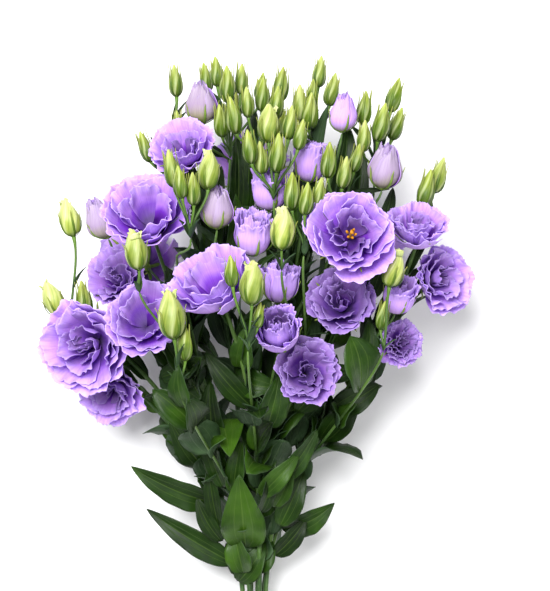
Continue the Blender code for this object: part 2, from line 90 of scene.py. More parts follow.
def square_to(axis):
    """Two unit directions square to an axis; the first is the part of +X that is square to it."""
    across = unit(np.array([1.0, 0.0, 0.0]) - axis[0] * axis)
    return across, np.cross(axis, across)


def ramp(x, low, high):
    """0 below low, 1 above high, and 3t^2 - 2t^3 between them."""
    t = np.clip((np.asarray(x, float) - low) / (high - low), 0, 1)
    return t * t * (3 - 2 * t)


def through(stations, s):
    """A smooth line through evenly spaced stations, at s from 0 to 1: on each stretch, the cubic whose
    slope at a station is half the step between its two neighbours. Past 1 the line runs straight on."""
    p = np.asarray(stations, float)
    p = np.vstack([2 * p[0] - p[1], p, 2 * p[-1] - p[-2]])
    u = np.clip(s, 0, 1) * (len(p) - 3)
    k = np.minimum(u.astype(int), len(p) - 4)
    t = (u - k)[..., None]
    a, b, c, d = p[k], p[k + 1], p[k + 2], p[k + 3]
    on = np.maximum(np.asarray(s) - 1, 0)[..., None] * (p[-1] - p[-2]) * (len(p) - 3)
    return b + t / 2 * (c - a + t * (2 * a - 5 * b + 4 * c - d + t * (3 * b - 3 * c + d - a))) + on


def dice(name):
    """A random generator that depends only on a name."""
    return np.random.default_rng([ord(c) for c in name])


FREE_HEIGHT = 30  # in softnesses: from here up a point keeps its height


def above_floor(points, softness=1.2 * MM):
    """Presses points on the floor: z becomes s ln(1 + e^(z/s)), which is z itself higher up."""
    height = points[..., 2] / softness
    pressed = np.log1p(np.exp(np.minimum(height, FREE_HEIGHT)))
    points[..., 2] = softness * np.where(height > FREE_HEIGHT, height, pressed)
    return points


print("a point on the floor is lifted by mm:", np.round(above_floor(np.zeros(3)) / MM, 2))


# %% [markdown]
# ## From sheets to a mesh
#
# A petal, a leaf and a sepal are all thin sheets, and a bloom has ten to thirty. Each could be an object
# of its own, but that would make thousands, so all the sheets of one piece go into one mesh. Each keeps
# its own coordinates in a UV map, across and along, so that a material can draw veins and fade a colour
# towards the tip. Two more numbers, `tone` and `depth`, are stored on the points: how light this sheet is
# by chance, and how deep in the bloom it sits, which the petal finishes paint as shade; on a bud, `depth`
# marks the petals' edges, where its finish paints a highlight.
#
# A stalk or a bud is a sheet too, closed round: its last column joins its first, and its two ends are
# drawn to a point, where merging makes one pole of many points.


# %% Helpers: the faces of a sheet, and its poles
def sheet_faces(rows, columns, closed=False):
    """Four corners for each cell of a grid of points; a closed one joins its last column to its first."""
    i, j = np.meshgrid(np.arange(rows - 1), np.arange(columns if closed else columns - 1), indexing="ij")
    k = (j + 1) % columns
    corners = [i * columns + j, i * columns + k, (i + 1) * columns + k, (i + 1) * columns + j]
    return np.stack(corners, axis=-1).reshape(-1, 4)


def merge_poles(mesh, reach=1e-7):
    """Merges points that lie on one another."""
    work = bmesh.new()
    work.from_mesh(mesh)
    bmesh.ops.remove_doubles(work, verts=work.verts, dist=reach)
    work.to_mesh(mesh)
    work.free()


print("faces of an open and a closed sheet of 4 by 5:", len(sheet_faces(4, 5)), len(sheet_faces(4, 5, True)))


# %% Helper: one mesh from many sheets
def mesh_of(name, sheets, *materials):
    """One mesh object from sheets: dictionaries with points (rows, columns, 3), and maybe tone, depth,
    slot (which of the materials) and closed."""
    points, faces, uv, tone, depth, slots, at = [], [], [], [], [], [], 0
    for sheet in sheets:
        grid = sheet["points"]
        rows, columns = grid.shape[:2]
        quads = sheet_faces(rows, columns, sheet.get("closed", False))
        spots = np.stack(np.meshgrid(np.linspace(0, 1, columns), np.linspace(0, 1, rows)), axis=-1)
        points.append(grid.reshape(-1, 3))
        faces.append(quads + at)
        uv.append(spots.reshape(-1, 2)[quads.reshape(-1)])
        tone.append(np.broadcast_to(sheet.get("tone", 0.5), (rows, columns)).reshape(-1))
        depth.append(np.broadcast_to(sheet.get("depth", 0.0), (rows, columns)).reshape(-1))
        slots.append(np.full(len(quads), sheet.get("slot", 0), np.int32))
        at += rows * columns
    points, faces = np.concatenate(points), np.concatenate(faces)
    mesh = bpy.data.meshes.new(name)
    mesh.vertices.add(len(points))
    mesh.vertices.foreach_set("co", points.reshape(-1))
    mesh.loops.add(faces.size)
    mesh.loops.foreach_set("vertex_index", faces.reshape(-1))
    mesh.polygons.add(len(faces))
    mesh.polygons.foreach_set("loop_start", np.arange(0, faces.size, 4))
    mesh.polygons.foreach_set("material_index", np.concatenate(slots))
    mesh.update(calc_edges=True)
    layer = mesh.uv_layers.new(name="sheet")
    layer.uv.foreach_set("vector", np.concatenate(uv).reshape(-1))
    for label, values in (("tone", tone), ("depth", depth)):
        kept = mesh.attributes.new(label, "FLOAT", "POINT")
        kept.data.foreach_set("value", np.concatenate(values).astype(np.float32))
    mesh.polygons.foreach_set("use_smooth", np.ones(len(faces), bool))
    if any(sheet.get("closed") for sheet in sheets):
        merge_poles(mesh)
    for material in materials:
        mesh.materials.append(material)
    made = bpy.data.objects.new(name, mesh)
    bpy.context.scene.collection.objects.link(made)
    return made


trial = mesh_of("trial", [{"points": np.dstack([*np.mgrid[0:4, 0:5], np.zeros((4, 5))])}] * 2)
print("points and faces of two sheets of 4 by 5:", len(trial.data.vertices), len(trial.data.polygons))


# %% [markdown]
# ## A wall, and a place in the bunch
#
# A sheet has no thickness, and a real petal has. Solidify adds the far face and the rim, and gives them
# the next material in the list, so that a petal can be violet inside and lilac outside. Its offset of -1
# leaves the sheet where it is and adds the new face behind it.
#
# Every finished piece rides on the one body of the bunch, and the plain solid that it stands for is hidden.


# %% Helpers: walls, and what a piece stands for
def give_wall(piece, thickness, other_side=0):
    """A Solidify modifier; other_side is how many slots on the far face's material lies."""
    wall = piece.modifiers.new("wall", "SOLIDIFY")
    wall.thickness = thickness
    wall.offset = -1.0
    wall.material_offset = other_side
    wall.material_offset_rim = other_side


def stand_for(piece, slot, *replaced):
    """Puts a piece on the body it rides on and hides what it replaces; slot is not used."""
    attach(piece, "root")
    if replaced:
        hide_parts(*replaced)


give_wall(trial, 1 * MM)
print("a wall is the modifier", trial.modifiers["wall"].type)
bpy.data.meshes.remove(trial.data)  # takes the trial object with it


# %% [markdown]
# ## A thread of any shape
#
# Stalks, stamens and the rubber band are all round threads. A Blender curve with a bevel makes such a
# thread too, but its radius and its UV map are harder to steer. So a circle is carried along a path. At
# each point it stands square to the path, turned as little as possible from the circle before.


# %% Helpers: carry a circle along a path
def thread(path, radii, sides=8):
    """A closed sheet: each row is path(i) + radius(i) (cos a across(i) + sin a up(i)), where across is
    kept square to the path by taking away its part along the path."""
    path = np.asarray(path, float)
    radii = np.broadcast_to(radii, len(path)).copy()
    along = np.gradient(path, axis=0)
    along /= np.linalg.norm(along, axis=1, keepdims=True)
    across = square_to(along[0])[0]
    turn = np.linspace(0, 2 * math.pi, sides, endpoint=False)
    rows = []
    for point, direction, radius in zip(path, along, radii):
        across = unit(across - across @ direction * direction)
        circle = np.outer(np.cos(turn), across) + np.outer(np.sin(turn), np.cross(direction, across))
        rows.append(point + radius * circle)
    ends = [np.broadcast_to(p, (sides, 3)) for p in (path[0], path[-1])]
    return np.stack([ends[0], *rows, ends[1]])


print("rows, columns and numbers of a thread through 3 points:", thread(np.eye(3), 0.1).shape)


# %% [markdown]
# ## Nodes in a few words
#
# A material here is a short sentence: a colour that fades along the sheet, broken up by veins and
# blotches, and a fine relief. These helpers add one node each, so that the sentence stays readable.
# What is the same all over a surface is set on the shader's own socket.
#
# Patterns read the place in the object, or the sheet's own coordinates where they have to follow it, so
# they stay on the surface from every side.


# %% Helpers: materials
def seen(*channels):
    """A colour as a screen shows it (0 to 255), turned into the light values that shaders work in."""
    c = np.array(channels) / 255
    return (*np.where(c <= 0.04045, c / 12.92, ((c + 0.055) / 1.055) ** 2.4), 1.0)


class Finish:
    """A material and the nodes behind it. Each method adds a node and returns its output socket."""

    def __init__(self, name, **constants):
        self.material = bpy.data.materials.new(name)
        self.material.use_nodes = True
        self.tree = self.material.node_tree
        self.shader = self.tree.nodes["Principled BSDF"]
        for socket, value in constants.items():
            self.shader.inputs[socket.replace("_", " ")].default_value = value

    def node(self, kind, inputs, **settings):
        made = self.tree.nodes.new(kind)
        for key, value in settings.items():
            setattr(made, key, value)
        for key, value in inputs.items():
            if isinstance(value, bpy.types.NodeSocket):
                self.tree.links.new(value, made.inputs[key])
            else:
                made.inputs[key].default_value = value
        return made

    def place(self):
        """Where the point is, in metres."""
        return self.node("ShaderNodeTexCoord", {}).outputs["Object"]

    def sheet(self):
        """Where the point is on its own sheet: x across, y along."""
        return self.node("ShaderNodeUVMap", {}, uv_map="sheet").outputs["UV"]

    def number(self, name):
        return self.node("ShaderNodeAttribute", {}, attribute_name=name).outputs["Fac"]

    def part(self, vector, axis):
        return self.node("ShaderNodeSeparateXYZ", {"Vector": vector}).outputs[axis]

    def stretched(self, vector, *scale):
        return self.node("ShaderNodeMapping", {"Vector": vector, "Scale": scale}).outputs["Vector"]

    def noise(self, vector, scale, detail=2.0):
        made = self.node("ShaderNodeTexNoise", {"Vector": vector, "Scale": scale, "Detail": detail})
        return made.outputs["Fac"]

    def math(self, operation, a, b=0.0):
        return self.node("ShaderNodeMath", {0: a, 1: b}, operation=operation).outputs[0]

    def between(self, x, low, high):
        """Carries low..high to 0..1 along a smooth step, and stops there."""
        inputs = {"Value": x, "From Min": low, "From Max": high}
        return self.node("ShaderNodeMapRange", inputs, interpolation_type="SMOOTHSTEP").outputs["Result"]

    def to(self, x, low, high):
        """Carries 0..1 to low..high."""
        inputs = {"Value": x, "To Min": low, "To Max": high}
        return self.node("ShaderNodeMapRange", inputs).outputs["Result"]

    def colours(self, x, *stops):
        """A colour ramp through (position, colour) stops."""
        made = self.node("ShaderNodeValToRGB", {"Fac": x})
        band = made.color_ramp
        while len(band.elements) < len(stops):
            band.elements.new(0.5)
        for element, (position, colour) in zip(band.elements, stops):
            element.position, element.color = position, colour
        return made.outputs["Color"]

    def mix(self, share, a, b, how="MIX"):
        made = self.node("ShaderNodeMix", {0: share, 6: a, 7: b}, data_type="RGBA", blend_type=how)
        return made.outputs[2]

    def relief(self, height, distance, strength=1.0):
        inputs = {"Height": height, "Distance": distance, "Strength": strength}
        self.set("Normal", self.node("ShaderNodeBump", inputs).outputs["Normal"])

    def set(self, socket, value):
        self.tree.links.new(value, self.shader.inputs[socket])

    def let_light_through(self, share, colour):
        """Mixes in a Translucent shader: the light that comes through a thin wall from behind it."""
        behind = self.node("ShaderNodeBsdfTranslucent", {"Color": colour}).outputs[0]
        front = self.shader.outputs["BSDF"]
        both = self.node("ShaderNodeMixShader", {0: share, 1: front, 2: behind}).outputs[0]
        self.tree.links.new(both, self.tree.nodes["Material Output"].inputs["Surface"])


print("a middle grey as light:", round(float(seen(128)[0]), 3))


# %% [markdown]
# ## The finish of a petal
#
# A lisianthus petal is thin and matt, like fine crepe. Inside it is a clear violet that pales at the frilled
# rim and darkens to royal purple towards the foot: partly its own deeper colour, partly painted shade in the
# throat. Petals that sit deep in a bloom are darkened further, and that is painted shade as well. Outside it
# is a greyer, paler lilac, with green at the foot. A closed bloom is paler and greyer still. Fine veins fan
# out along a petal. Light comes through it, so part of the surface is a Translucent shader; subsurface
# scattering is made for thick things, and a petal is not one. All three finishes are one function with
# different colours.


# %% The finish of a petal in any colours
FAINT_LILAC = seen(222, 200, 250)
PETAL_VEINS = (0.35, (0.86, 0.80, 0.93, 1)), (0.6, (1, 1, 1, 1))
CREPE_GRAIN = 900.0  # bumps per metre


def petal_finish(name, stops, deep, shade_share, rough=0.62):
    """Colour: a ramp along the sheet, mixed towards `deep` by the sheet's depth, which is painted shade deep
    in the bloom, and towards a faint lilac by its tone, then darkened by veins that are 38 to a sheet and
    long."""
    finish = Finish(name, Roughness=rough, Specular_IOR_Level=0.1)
    across_along = finish.sheet()
    along = finish.part(across_along, "Y")
    wander = finish.noise(finish.place(), 55.0)
    base = finish.colours(finish.math("ADD", along, finish.to(wander, -0.14, 0.14)), *stops)
    # painted shade: the deeper a petal sits in its bloom, and the more its bloom is shaded, the more it goes
    # towards the deep colour
    painted_shade = finish.math("MULTIPLY", finish.number("depth"), shade_share)
    colour = finish.mix(painted_shade, base, deep)
    light = finish.to(finish.number("tone"), 0.0, 0.14)
    colour = finish.mix(light, colour, FAINT_LILAC)
    veins = finish.noise(finish.stretched(across_along, 38.0, 1.6, 1.0), 1.0)
    colour = finish.mix(1.0, colour, finish.colours(veins, *PETAL_VEINS), "MULTIPLY")
    finish.set("Base Color", colour)
    crepe = finish.noise(finish.place(), CREPE_GRAIN)
    finish.set("Roughness", finish.to(crepe, rough - 0.08, rough + 0.08))
    finish.relief(finish.math("ADD", veins, finish.math("MULTIPLY", crepe, 0.5)), 0.4 * MM, 0.8)
    finish.let_light_through(0.2, colour)
    return finish.material


print("bumps of the crepe in a centimetre:", CREPE_GRAIN * 10 * MM)

# %% The three petal finishes: stops along the petal, the deep colour of painted shade, and how far it goes towards it
petal_inside = petal_finish(
    "petal_inside",
    [
        # darker towards the foot: partly the petal's own deeper violet, partly painted shade in the throat
        (0.08, seen(40, 2, 74)),
        (0.34, seen(138, 66, 210)),
        (0.54, seen(216, 160, 254)),
        (1.0, seen(216, 186, 255)),
    ],
    seen(60, 6, 112),
    0.8,
)
petal_outside = petal_finish(
    "petal_outside",
    [
        (0.02, seen(170, 182, 112)),
        (0.12, seen(202, 180, 204)),
        (0.4, seen(214, 172, 250)),
        (1.0, seen(216, 184, 255)),
    ],
    seen(120, 56, 188),
    0.6,
)
petal_pale = petal_finish(
    "petal_pale",
    [
        (0.02, seen(128, 138, 62)),
        (0.22, seen(166, 160, 130)),
        (0.5, seen(168, 150, 172)),
        (1.0, seen(186, 172, 190)),
    ],
    seen(124, 84, 170),
    0.6,
)
print("petal finishes:", petal_inside.name, petal_outside.name, petal_pale.name)

# %% [markdown]
# ## Reading the plain solids
#
# A bloom's solid is turned about its own axis. The spread of its volume is the same all round that axis
# and different along it, so the axis is the odd one out among the three principal axes of its second
# moments. Those moments are summed over the tetrahedra that each triangle makes with the solid's middle.
# A list of places typed by hand would be shorter, but it would go wrong as soon as the solids change.


# %% Helpers: the foot, axis and size of a turned solid
def triangles(node):
    """The corners of a node's triangles, as an array (n, 3, 3)."""
    mesh = nodes[node].data
    mesh.calc_loop_triangles()
    spots = np.empty(len(mesh.vertices) * 3, np.float32)
    mesh.vertices.foreach_get("co", spots)
    corners = np.empty(len(mesh.loop_triangles) * 3, np.int32)
    mesh.loop_triangles.foreach_get("vertices", corners)
    return spots.reshape(-1, 3).astype(float)[corners].reshape(-1, 3, 3)


def turned_solid(node, heavy_end):
    """Foot, axis and radius. heavy_end is 1 if more of the solid is near its tip, else -1."""
    corners = triangles(node)
    weight = np.linalg.det(corners)
    middle = (weight[:, None] * corners.sum(axis=1)).sum(axis=0) / 4 / weight.sum()
    corners = corners - middle
    weight = np.linalg.det(corners)
    total = corners.sum(axis=1)
    spread = np.einsum("n,nij,nik->jk", weight, corners, corners)
    spread += np.einsum("n,nj,nk->jk", weight, total, total)
    value, vector = np.linalg.eigh(spread / weight.sum())
    axis = vector[:, 0 if value[1] - value[0] > value[2] - value[1] else 2]
    spots = corners.reshape(-1, 3)
    height = spots @ axis
    if heavy_end * (height.max() + height.min()) > 0:
        axis, height = -axis, -height
    radius = np.linalg.norm(spots - np.outer(height, axis), axis=1).max()
    return middle + axis * height.min(), axis, radius


foot, axis, radius = turned_solid("open_bloom_01", 1)
print("open_bloom_01 foot", np.round(foot / MM), "axis", np.round(axis, 2), "radius", round(radius / MM, 1))

# %% [markdown]
# ## One petal
#
# Seen from the side, a petal is a line from the foot of the bloom, up its cup and over its lip. Seen
# from above it is part of a turn. A flat petal could be bent into that shape, but it would slide through
# its neighbours. So the petal is worked out in polar form: how far out and how high the line is, and
# over which angles the sheet reaches. Petals of one turn overlap like tiles, one edge over and one edge
# under.
#
# The frill is what makes a lisianthus. Slow waves that grow towards the lip push the sheet in and out,
# a quicker ripple rides on them close to the rim, and the rim itself is finely notched.


# %% Helpers: the shape of a petal
PETAL_ROWS = 16
PETAL_COLUMNS = 41


def petal(form, turn, rng):
    """A petal about +Z, in shares of the bloom's radius.

    With v from -1 to 1 across and s from 0 to 1 along, the point is at the angle turn + wide v + twist s,
    where a sine stretches wide v by up to 5% near the rim, and on the line (r, z)(s) of the form. The
    line is swayed by up to 0.17 radians and scaled by 0.90 to 1.03. Round shoulders shorten s by
    round |v|^2.6, and notches of sines change it towards the rim.
    The point is then moved along the line's own normal by the sum of
    - slow waves, ruffle grow sin(pi waves v) (1 + |v|) / 2, where grow rises from 0 to 1 along the petal,
    - ripples 2.4 times as quick, 0.40 ruffle grow^2, and a frill of 17 v close to the rim,
    - cup |v|^2.2 grow, which bends the sides, and overlap v, which lifts one edge over its neighbour.
    """
    v = np.linspace(-1, 1, PETAL_COLUMNS)[None, :]
    s = np.linspace(0, 1, PETAL_ROWS)[:, None] ** 0.85
    a, b, c, d = rng.uniform(0, 2 * math.pi, 4)
    fringe = form.get("fringe", 1.0)
    play = form.get("play", 1.0)
    teeth = 0.011 * np.sin(29 * v + a) + 0.013 * np.sin(47 * v + b)
    notches = 0.035 * np.sin(5 * v + c) * s**3 + fringe * teeth * s**8
    at = s * (1 - form.get("round", 0.20) * np.abs(v) ** 2.6 + notches)
    sway = rng.uniform(-0.17, 0.17) * play
    swayed = [[math.cos(sway), math.sin(sway)], [-math.sin(sway), math.cos(sway)]]
    line = np.array(form["line"], float) @ swayed
    line *= 0.97 + rng.uniform(-0.07, 0.06) * play
    line[0] = form["line"][0]
    r, z = np.moveaxis(through(line, at), -1, 0)
    slope = through(line, at + 0.01) - through(line, at - 0.01)
    slope /= np.linalg.norm(slope, axis=-1, keepdims=True)
    grow = ramp(at, 0.40, 1.05)
    ruffle = form["ruffle"]
    waves = rng.uniform(1.0, 2.0)
    lift = ruffle * grow * np.sin(math.pi * waves * v + d) * (0.5 + 0.5 * np.abs(v))
    lift += 0.40 * ruffle * grow**2 * np.sin(math.pi * waves * 2.4 * v + a + 2 * at)
    lift += 0.32 * ruffle * fringe * ramp(at, 0.80, 1.02) * np.sin(17 * v + b + 2 * np.sin(3 * v + a))
    lift += form.get("cup", 0.05) * np.abs(v) ** 2.2 * grow
    lift += form.get("overlap", 0.035) * v * ramp(at, 0.05, 0.4)
    out = np.maximum(r - lift * slope[..., 1], 0.01)
    up = z + lift * slope[..., 0]
    width = form["wide"] * v * (1 + 0.05 * np.sin(7 * v + c) * grow)
    angle = turn + width + form.get("twist", 0.0) * at
    points = np.stack([out * np.cos(angle), out * np.sin(angle), up], axis=-1)
    # depth, and the shade of the whole bloom, are painted shade: the finish darkens the petal by them
    depth = min(1, form["depth"] + form.get("shade", 0))
    return {"points": points, "tone": rng.uniform(0, 1), "depth": depth}


print("points of a petal:", PETAL_ROWS, "by", PETAL_COLUMNS)


# %% [markdown]
# ## The turns of a bloom, from its outermost petals to its heart
#
# A double lisianthus opens like a rose. The outer petals make a wide cup and lean back at the lip, the
# next ones stand steeper, and the last are still rolled round the heart. A spiral of ever smaller petals
# would be simpler, but the turns of a real bloom differ in kind and not only in size, so each is told on
# its own. A turn says how many petals it has, the line that they follow from foot to lip (out, up), how
# wide they reach (radians to each side), how ruffled they are, and how deep they sit, by which the colour
# is darkened as painted shade.


# %% The turns of petals of an open bloom, from the loosest to the fullest
def turn_of(count, line, **form):
    """One turn: how many petals it has and the form that they share."""
    return count, {"line": line, **form}


OPEN_TURNS = [
    turn_of(5, [(0.05, 0), (0.48, 0.12), (0.77, 0.38), (0.94, 0.66), (1.08, 0.84)],
            wide=0.92, ruffle=0.085, depth=0.0, fringe=1.3),
    turn_of(4, [(0.05, 0), (0.40, 0.15), (0.66, 0.46), (0.81, 0.78), (0.93, 0.98)],
            wide=1.02, ruffle=0.090, depth=0.1, fringe=1.3),
    turn_of(4, [(0.0, 0.02), (0.30, 0.16), (0.49, 0.44), (0.58, 0.70), (0.67, 0.87)],
            wide=0.92, ruffle=0.095, depth=0.35, overlap=0.10),
    turn_of(3, [(0.0, 0.03), (0.20, 0.17), (0.32, 0.40), (0.37, 0.57), (0.42, 0.71)],
            wide=0.95, ruffle=0.085, depth=0.9, overlap=0.10),
]
ROSE_TURNS = [
    turn_of(5, [(0.05, 0), (0.44, 0.13), (0.72, 0.40), (0.90, 0.68), (1.05, 0.86)],
            wide=0.86, ruffle=0.100, depth=0.0, fringe=1.2),
    turn_of(5, [(0.05, 0), (0.34, 0.18), (0.58, 0.50), (0.74, 0.84), (0.88, 1.03)],
            wide=0.84, ruffle=0.100, depth=0.15, fringe=1.2),
    turn_of(4, [(0.04, 0), (0.24, 0.22), (0.43, 0.56), (0.52, 0.86), (0.62, 1.03)],
            wide=0.98, ruffle=0.095, depth=0.35, overlap=0.08),
    turn_of(3, [(0.03, 0), (0.15, 0.26), (0.27, 0.56), (0.31, 0.80), (0.34, 0.95)],
            wide=1.30, ruffle=0.075, depth=0.6, overlap=0.10),
    turn_of(2, [(0.02, 0), (0.08, 0.26), (0.13, 0.52), (0.15, 0.70), (0.15, 0.82)],
            wide=1.70, ruffle=0.045, depth=0.85, overlap=0.06),
]
FULL_TURNS = [
    turn_of(6, [(0.05, 0), (0.40, 0.16), (0.64, 0.42), (0.84, 0.66), (1.03, 0.78)],
            wide=0.66, ruffle=0.090, depth=0.0, fringe=1.6),
    turn_of(6, [(0.05, 0), (0.34, 0.18), (0.56, 0.50), (0.74, 0.80), (0.90, 0.96)],
            wide=0.64, ruffle=0.100, depth=0.15, fringe=1.6),
    turn_of(6, [(0.05, 0), (0.27, 0.20), (0.46, 0.56), (0.60, 0.88), (0.72, 1.04)],
            wide=0.60, ruffle=0.100, depth=0.3, fringe=1.8),
    turn_of(5, [(0.04, 0), (0.20, 0.22), (0.34, 0.58), (0.44, 0.88), (0.52, 1.06)],
            wide=0.66, ruffle=0.090, depth=0.5, fringe=1.8),
    turn_of(5, [(0.03, 0), (0.12, 0.24), (0.20, 0.54), (0.26, 0.80), (0.30, 0.98)],
            wide=0.80, ruffle=0.065, depth=0.75, fringe=1.8),
]
for turns in (OPEN_TURNS, ROSE_TURNS, FULL_TURNS):
    print("petals of an open bloom:", sum(count for count, _ in turns))

# %% The turns of petals of a half open and a closed bloom
HALF_TURNS = [
    turn_of(5, [(0.10, 0), (0.74, 0.42), (0.98, 1.10), (0.92, 1.74), (1.06, 2.26)],
            wide=0.86, ruffle=0.100, depth=0.1, cup=-0.03, fringe=1.4),
    turn_of(5, [(0.08, 0), (0.62, 0.44), (0.84, 1.10), (0.76, 1.76), (0.78, 2.34)],
            wide=0.82, ruffle=0.100, depth=0.3, overlap=0.06, fringe=1.4),
    turn_of(4, [(0.06, 0), (0.46, 0.46), (0.62, 1.10), (0.55, 1.70), (0.50, 2.26)],
            wide=0.90, ruffle=0.085, depth=0.55, overlap=0.10, fringe=1.6),
    turn_of(3, [(0.04, 0), (0.26, 0.50), (0.38, 1.10), (0.33, 1.66), (0.27, 2.12)],
            wide=1.20, ruffle=0.065, depth=0.8, overlap=0.10, fringe=1.6),
]
ROLLED = dict(round=0.30, play=0.3)
CLOSED_TURNS = [
    turn_of(4, [(0.10, 0), (0.78, 0.46), (1.02, 1.14), (0.70, 1.94), (0.42, 2.56)],
            wide=1.05, ruffle=0.070, depth=0.0, overlap=0.06, cup=-0.10, twist=0.5, fringe=1.5, **ROLLED),
    turn_of(3, [(0.08, 0), (0.68, 0.48), (0.90, 1.14), (0.60, 1.96), (0.32, 2.72)],
            wide=1.3, ruffle=0.065, depth=0.3, overlap=0.08, cup=-0.06, twist=0.8, fringe=1.8, **ROLLED),
    turn_of(3, [(0.06, 0), (0.50, 0.50), (0.70, 1.14), (0.44, 1.96), (0.18, 2.72)],
            wide=1.4, ruffle=0.050, depth=0.6, overlap=0.06, twist=1.1, fringe=1.8, **ROLLED),
]
TURNS = {"open": ROSE_TURNS, "half": HALF_TURNS, "closed": CLOSED_TURNS}
for kind, turns in TURNS.items():
    print("petals of most blooms of the kind", kind, sum(count for count, _ in turns))

# %% [markdown]
# ## Which bloom is which
#
# No two blooms of a bunch are alike. Most differences come from each bloom's own random numbers, but some
# are too large for that. A few blooms are wide open, and three of those have lost the petals round the
# heart, so that their throats show. Others are very full. Those that sit low in the bunch, in the shade of
# the others, are darkened all over by painted shade, by the share that is given here.

# %% The blooms that differ from the rest
# painted shade: how much darker each of these blooms is coloured all over, for lying in the shade of others
PAINTED_SHADE_OF_BLOOMS = {
    "open_bloom_02": 0.1,
    "open_bloom_04": 0.45,
    "open_bloom_06": 0.45,
    "open_bloom_09": 0.35,
    "open_bloom_12": 0.25,
}
HOLLOW = ("open_bloom_01", "open_bloom_02", "open_bloom_03")
WIDE_OPEN = (*HOLLOW, "open_bloom_05", "open_bloom_13")
VERY_FULL = ("open_bloom_12", "open_bloom_15", "open_bloom_16")
SHOW_STAMENS = ("open_bloom_05",)
VIOLET = ("closed_bloom_04",)  # closed, but coloured like an open one


def turns_of(node, kind):
    """The turns of petals that a bloom has."""
    if node in HOLLOW:
        return OPEN_TURNS[:3]
    if node in WIDE_OPEN:
        return OPEN_TURNS
    return FULL_TURNS if node in VERY_FULL else TURNS[kind]


print("wide open:", len(WIDE_OPEN), "of them hollow:", len(HOLLOW), "very full:", len(VERY_FULL))


# %% Helpers: stand points in their place, and all the petals of a bloom
def placed(points, foot, axis, size):
    """Stands points about +Z on a foot and an axis, at a size, and keeps them off the floor."""
    across, up = square_to(axis)
    return above_floor(foot + points * size @ np.stack([across, up, axis]))


def bloom_sheets(name, turns):
    """All the petals of a bloom: each turn spreads its petals evenly, with some play, and is turned on."""
    rng = dice(name)
    sheets, start = [], rng.uniform(0, 2 * math.pi)
    for count, form in turns:
        # painted shade of the whole bloom, added to every petal's depth
        form = {**form, "shade": PAINTED_SHADE_OF_BLOOMS.get(name, 0)}
        step = 2 * math.pi / count
        sheets += [petal(form, start + (k + rng.uniform(-0.13, 0.13)) * step, rng) for k in range(count)]
        start += step / 2 + rng.uniform(-0.25, 0.25)
    return sheets


print("petals of open_bloom_01:", len(bloom_sheets("open_bloom_01", turns_of("open_bloom_01", "open"))))


# %% [markdown]
# ## The green cup under a bloom, and what is at its heart
#
# Every lisianthus bloom and bud sits on five narrow pointed sepals, like green awls, that rise from a
# small green knob at the end of the stalk. They hug the petals and then stand away at their tips. An
# awl is a sheet whose width swells and then runs to a point, folded a little along its middle.
#
# In the heart stand five stamens with yellow anthers round one pistil with a broad end. They are
# threads, thicker where the anther is. The knob is a thread as well, short and twice as thick as long.


# %% Helpers: sepals, the knob they grow from, and stamens
def awl(line, turn, half_width, columns=5, rows=9):
    """A pointed sheet about +Z on the line (r, z)(s): half_width (1 - s)^0.7 (0.7 + 1.2 s) to each side,
    with its edges drawn in by 0.35 of that, so that it has a keel along its middle."""
    s = np.linspace(0, 1, rows)[:, None]
    v = np.linspace(-1, 1, columns)[None, :]
    r, z = np.moveaxis(through(line, s), -1, 0)
    half = half_width * (np.maximum(1 - s, 0.02) ** 0.7) * (0.7 + 1.2 * s)
    x, out = half * v, r - 0.35 * half * np.abs(v)
    points = [out * math.cos(turn) - x * math.sin(turn), out * math.sin(turn) + x * math.cos(turn), z + 0 * v]
    return {"points": np.stack(points, axis=-1), "tone": 0.5 + 0.4 * math.sin(9 * turn)}


def knob(radius, low, high):
    """A closed drop about +Z: the radius follows the sine of the way up, to the power 0.7."""
    t = np.linspace(0, math.pi, 7)
    path = np.stack([0 * t, 0 * t, low + (high - low) * (1 - np.cos(t)) / 2], axis=-1)
    return {"points": thread(path, radius * np.sin(t) ** 0.7 + 1e-4, 10), "closed": True, "tone": 0.4}


STAMEN_RADII = np.array([0.010, 0.010, 0.010, 0.010, 0.010, 0.018, 0.038, 0.034, 0.012])
PISTIL_LINE = [(0, 0, 0.3), (0, 0, 0.55), (0, 0, 0.8), (0.0, 0.01, 0.98), (0.03, 0.02, 1.05)]
PISTIL_RADII = [0.05, 0.045, 0.03, 0.035, 0.06]


def stamens(rng, height, reach):
    """Five stamens about +Z, on lines that bend out by s^2 as they rise, and a pistil between them."""
    found = []
    for k in range(5):
        turn = k * 2 * math.pi / 5 + rng.uniform(-0.3, 0.3)
        way = np.array([math.cos(turn), math.sin(turn), 0])
        s = np.linspace(0, 1, len(STAMEN_RADII))[:, None]
        path = way * reach * (0.35 + 0.65 * s**2) + np.array([0, 0, height]) * (0.35 + 0.62 * s)
        found.append({"points": thread(path, STAMEN_RADII, 6), "closed": True, "tone": 0.5})
    path = np.array(PISTIL_LINE) * [1, 1, height]
    found.append({"points": thread(path, PISTIL_RADII, 8), "closed": True, "tone": 0.2})
    return found


# line from foot to tip (out, up), and half width
OPEN_SEPAL = [(0.07, -0.03), (0.36, 0.06), (0.62, 0.26), (0.82, 0.50), (0.98, 0.62)], 0.055
HALF_SEPAL = [(0.10, -0.04), (0.62, 0.20), (1.00, 0.62), (1.06, 1.05), (1.16, 1.45)], 0.10
print("a sepal reaches, in radii of its bloom:", OPEN_SEPAL[0][-1], HALF_SEPAL[0][-1])

# %% [markdown]
# ## The finish of the green parts
#
# Sepals and stalks share one kind of finish: a waxy green that wanders along the sheet, with paler veins
# that run with it and a bloom of wax that makes it a little rough. A noise that is stretched along the
# sheet gives the veins; a wave texture would make them too even. Stamens take the same finish in yellow.


